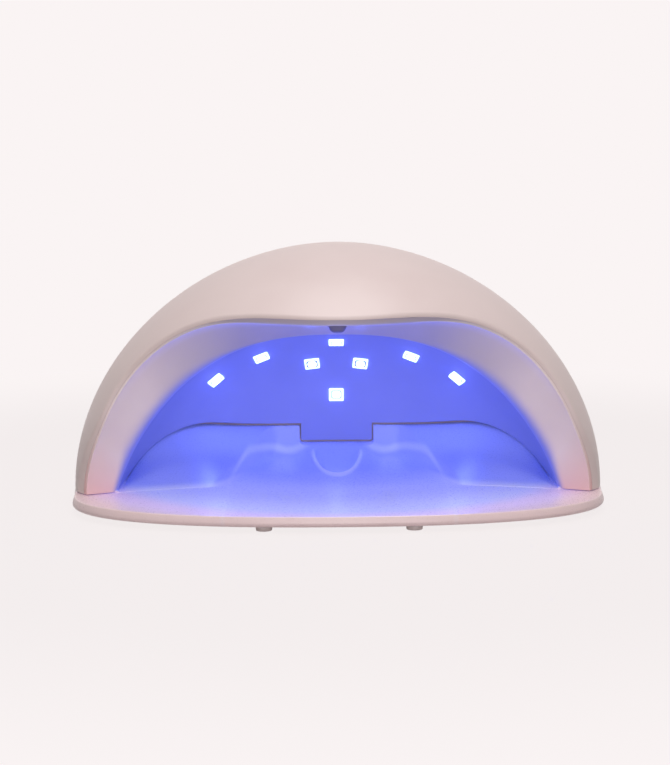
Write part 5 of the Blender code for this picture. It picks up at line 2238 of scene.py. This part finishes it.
@dataclass
class BackFittings:
    """DC inlet low on the back of the dome, and the row of vent slots above it."""

    dome: Dome
    inlet_height: float = 22.0 * MM
    barrel_radius: float = 4.0 * MM
    barrel_length: float = 11.0 * MM
    flange_radius: float = 5.5 * MM
    flange_thickness: float = 1.2 * MM
    bore_radius: float = 2.8 * MM
    bore_depth: float = 9.0 * MM
    pin_radius: float = 1.0 * MM
    pin_setback: float = 1.5 * MM
    edge: float = 0.25 * MM
    vent_count: int = 7
    vent_pitch: float = 7.0 * MM
    vent_width: float = 2.2 * MM
    vent_length: float = 15.0 * MM
    vent_foot: float = 36.0 * MM
    vent_steps: int = 6
    sides: int = 56

    def inlet_place(self) -> Matrix:
        """Placing matrix of the inlet, Z out of the dome's back."""
        back = self.dome.depth * round_off(self.inlet_height / self.dome.height, self.dome.roundness)
        return self.dome.frame_at(0.0, back)

    def holes(self) -> list[Piece]:
        """Tool bodies of the inlet's hole and the vent slots.

        Returns:
            The tool bodies.
        """
        radius = self.barrel_radius + SEAT_GAP
        profile = [(radius, -self.barrel_length), (radius, MARGIN)]
        tools = [turned("inlet_hole_tool", profile, self.sides, self.inlet_place())]
        half = self.vent_width / 2
        outline = rounded_rectangle(half, self.vent_length / 2, half - PROBE, self.vent_steps)
        for step in range(self.vent_count):
            x = (step - (self.vent_count - 1) / 2) * self.vent_pitch
            middle = Vector((x, 0.0, self.vent_foot + self.vent_length / 2))
            facing = HEAD_PLACE @ frame_from(middle, Vector((0.0, 1.0, 0.0)), Vector((-1.0, 0.0, 0.0)))
            tools.append(raised(
                "vent_tool", outline, self.dome.depth / 2, self.dome.depth + MARGIN, facing
            ))
        return tools

    def build(self) -> Piece:
        """Inlet with its flange, bore and centre pin.

        Returns:
            The finished inlet.
        """
        low, high, edge = SEAT_GAP, SEAT_GAP + self.flange_thickness, self.edge
        floor = high - self.bore_depth
        pin_top = high - self.pin_setback
        profile = [
            (self.barrel_radius - edge, -self.barrel_length),
            (self.barrel_radius, -self.barrel_length + edge), (self.barrel_radius, low),
            (self.flange_radius - edge, low), (self.flange_radius, low + edge),
            (self.flange_radius, high - edge), (self.flange_radius - edge, high),
            (self.bore_radius + edge, high), (self.bore_radius, high - edge), (self.bore_radius, floor),
            (self.pin_radius, floor), (self.pin_radius, pin_top - edge), (self.pin_radius - edge, pin_top),
        ]
        inlet = turned("power_inlet", profile, self.sides, self.inlet_place())
        dress(inlet, BLACK_NYLON.material(), BRIGHT_STEEL.material())
        frame = self.inlet_place().inverted()
        for face in inlet.data.polygons:
            centre = frame @ face.center
            if math.hypot(centre.x, centre.y) < self.pin_radius + PROBE and centre.z > floor:
                face.material_index = 1
        smooth(inlet)
        return seat(inlet, Body.HEAD, "inlet_plastic", "dc_inlet")


@dataclass
class InnerWorks:
    """Solids that stay as they are inside the head and under it, in their own finishes."""

    nodes: dict[str, Any]

    def build(self) -> None:
        """Give every carried-over solid its material."""
        finishes = {
            "base_frame": FRAME_ABS, "frame_screw": BRIGHT_STEEL, "keeper_disc": BRIGHT_STEEL,
            "board_screw": BRIGHT_STEEL, "inlet_nut": BRIGHT_STEEL, "tray_magnet": NICKEL,
            "led_board": LAMP_BOARD, "sensor_board": GREEN_BOARD, "control_board": GREEN_BOARD,
            "display_module": DISPLAY_GREY, "timer": BLACK_NYLON,
        }
        made: dict[str, Material] = {}
        for name, node in self.nodes.items():
            stem = next((key for key in finishes if name.startswith(key)), None)
            if stem is None or name.endswith("button"):
                continue
            finish = finishes[stem]
            if finish.name not in made:
                made[finish.name] = finish.material()
            dress(node, made[finish.name])
            log.info("%s: dressed in %s", name, finish.name)


@dataclass(frozen=True)
class Softbox:
    """Square softbox on a stand."""

    name: str
    place: tuple[float, float, float]
    size: float
    power: float

    def build(self, aim: Vector) -> None:
        """Set the softbox and aim it.

        Args:
            aim: Point that it faces.
        """
        clear_selection()
        bpy.ops.object.light_add(type="AREA", location=self.place)
        lamp = bpy.context.object
        lamp.name = self.name
        lamp.data.size = self.size
        lamp.data.energy = self.power
        lamp.rotation_euler = (aim - Vector(self.place)).to_track_quat("-Z", "Y").to_euler()


@dataclass
class Studio:
    """Pale sweep, soft lights and the camera at the photograph's angle."""

    target: tuple[float, float, float] = (0.0, DOME_Y - 25.0 * MM, PLATE_TOP + 45.05 * MM)
    heart: tuple[float, float, float] = (0.0, DOME_Y, 50.0 * MM)
    elevation: float = math.radians(8.0)
    azimuth: float = math.radians(-0.4)
    roll: float = math.radians(0.4)
    distance: float = 0.850
    lens: float = 100.0
    sensor: float = 36.0
    shift: float = -0.5 / 765
    floor_reach: float = 6.0
    fill: float = 0.06
    fill_tint: str = "FFFCFA"
    softboxes: tuple[Softbox, ...] = (
        Softbox("key_softbox", (0.05, -0.82, 1.13), 0.35, 5.2),
        Softbox("front_softbox", (0.03, -1.48, 0.27), 0.6, 4.6),
        Softbox("top_softbox", (0.04, -0.12, 1.25), 0.7, 6.8),
    )

    def camera(self) -> None:
        """Set the camera."""
        clear_selection()
        bpy.ops.object.camera_add()
        camera = bpy.context.object
        camera.name = "front_camera"
        level = math.cos(self.elevation)
        back = Vector((
            level * math.sin(self.azimuth), -level * math.cos(self.azimuth), math.sin(self.elevation)
        ))
        camera.location = Vector(self.target) + back * self.distance
        camera.rotation_euler = (math.pi / 2 - self.elevation, self.roll, self.azimuth)
        camera.data.sensor_fit = "VERTICAL"
        camera.data.sensor_height = camera.data.sensor_width = self.sensor
        camera.data.lens = self.lens
        camera.data.shift_x = self.shift
        bpy.context.scene.camera = camera

    def floor(self) -> None:
        """Lay the pale paper."""
        clear_selection()
        bpy.ops.mesh.primitive_plane_add(size=2 * self.floor_reach)
        floor = bpy.context.object
        floor.name = "paper_floor"
        dress(floor, PALE_PAPER.material())

    def world(self) -> None:
        """Even fill light, and the same pale ground behind everything."""
        world = bpy.data.worlds.new("studio")
        bpy.context.scene.world = world
        world.use_nodes = True
        tree = world.node_tree
        tree.nodes.clear()
        room = add_node(
            tree, "ShaderNodeBackground", {"Color": linear(self.fill_tint), "Strength": self.fill}
        )
        ground = add_node(tree, "ShaderNodeBackground", {"Color": linear(GROUND)})
        mix = add_node(
            tree, "ShaderNodeMixShader", None,
            {0: seen_ray(tree), 1: room.outputs[0], 2: ground.outputs[0]},
        )
        add_node(tree, "ShaderNodeOutputWorld", links={"Surface": mix.outputs[0]})

    def build(self) -> None:
        """Set the whole studio."""
        self.camera()
        self.floor()
        self.world()
        for softbox in self.softboxes:
            softbox.build(Vector(self.heart))
        bpy.context.scene.view_settings.view_transform = "Standard"


def main() -> None:
    """Load the frame, build every sub-assembly and light it."""
    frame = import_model()
    clear_selection()

    Studio().build()
    dome = Dome()
    bowl = Bowl(dome)
    bezel = Bezel(dome, bowl)
    lamps = LampArray(bowl)
    sensor = HandSensor(bezel)
    panel = ControlPanel(dome)
    fittings = BackFittings(dome)

    dome.build(panel.holes() + fittings.holes())
    bezel.build(sensor.hole())
    bowl.build(lamps.windows())
    sensor.build()
    lamps.build()
    Tray(dome, bowl).build()
    Feet().build()
    panel.build()
    fittings.build()
    InnerWorks(frame["nodes"]).build()


if __name__ == "__main__":
    main()
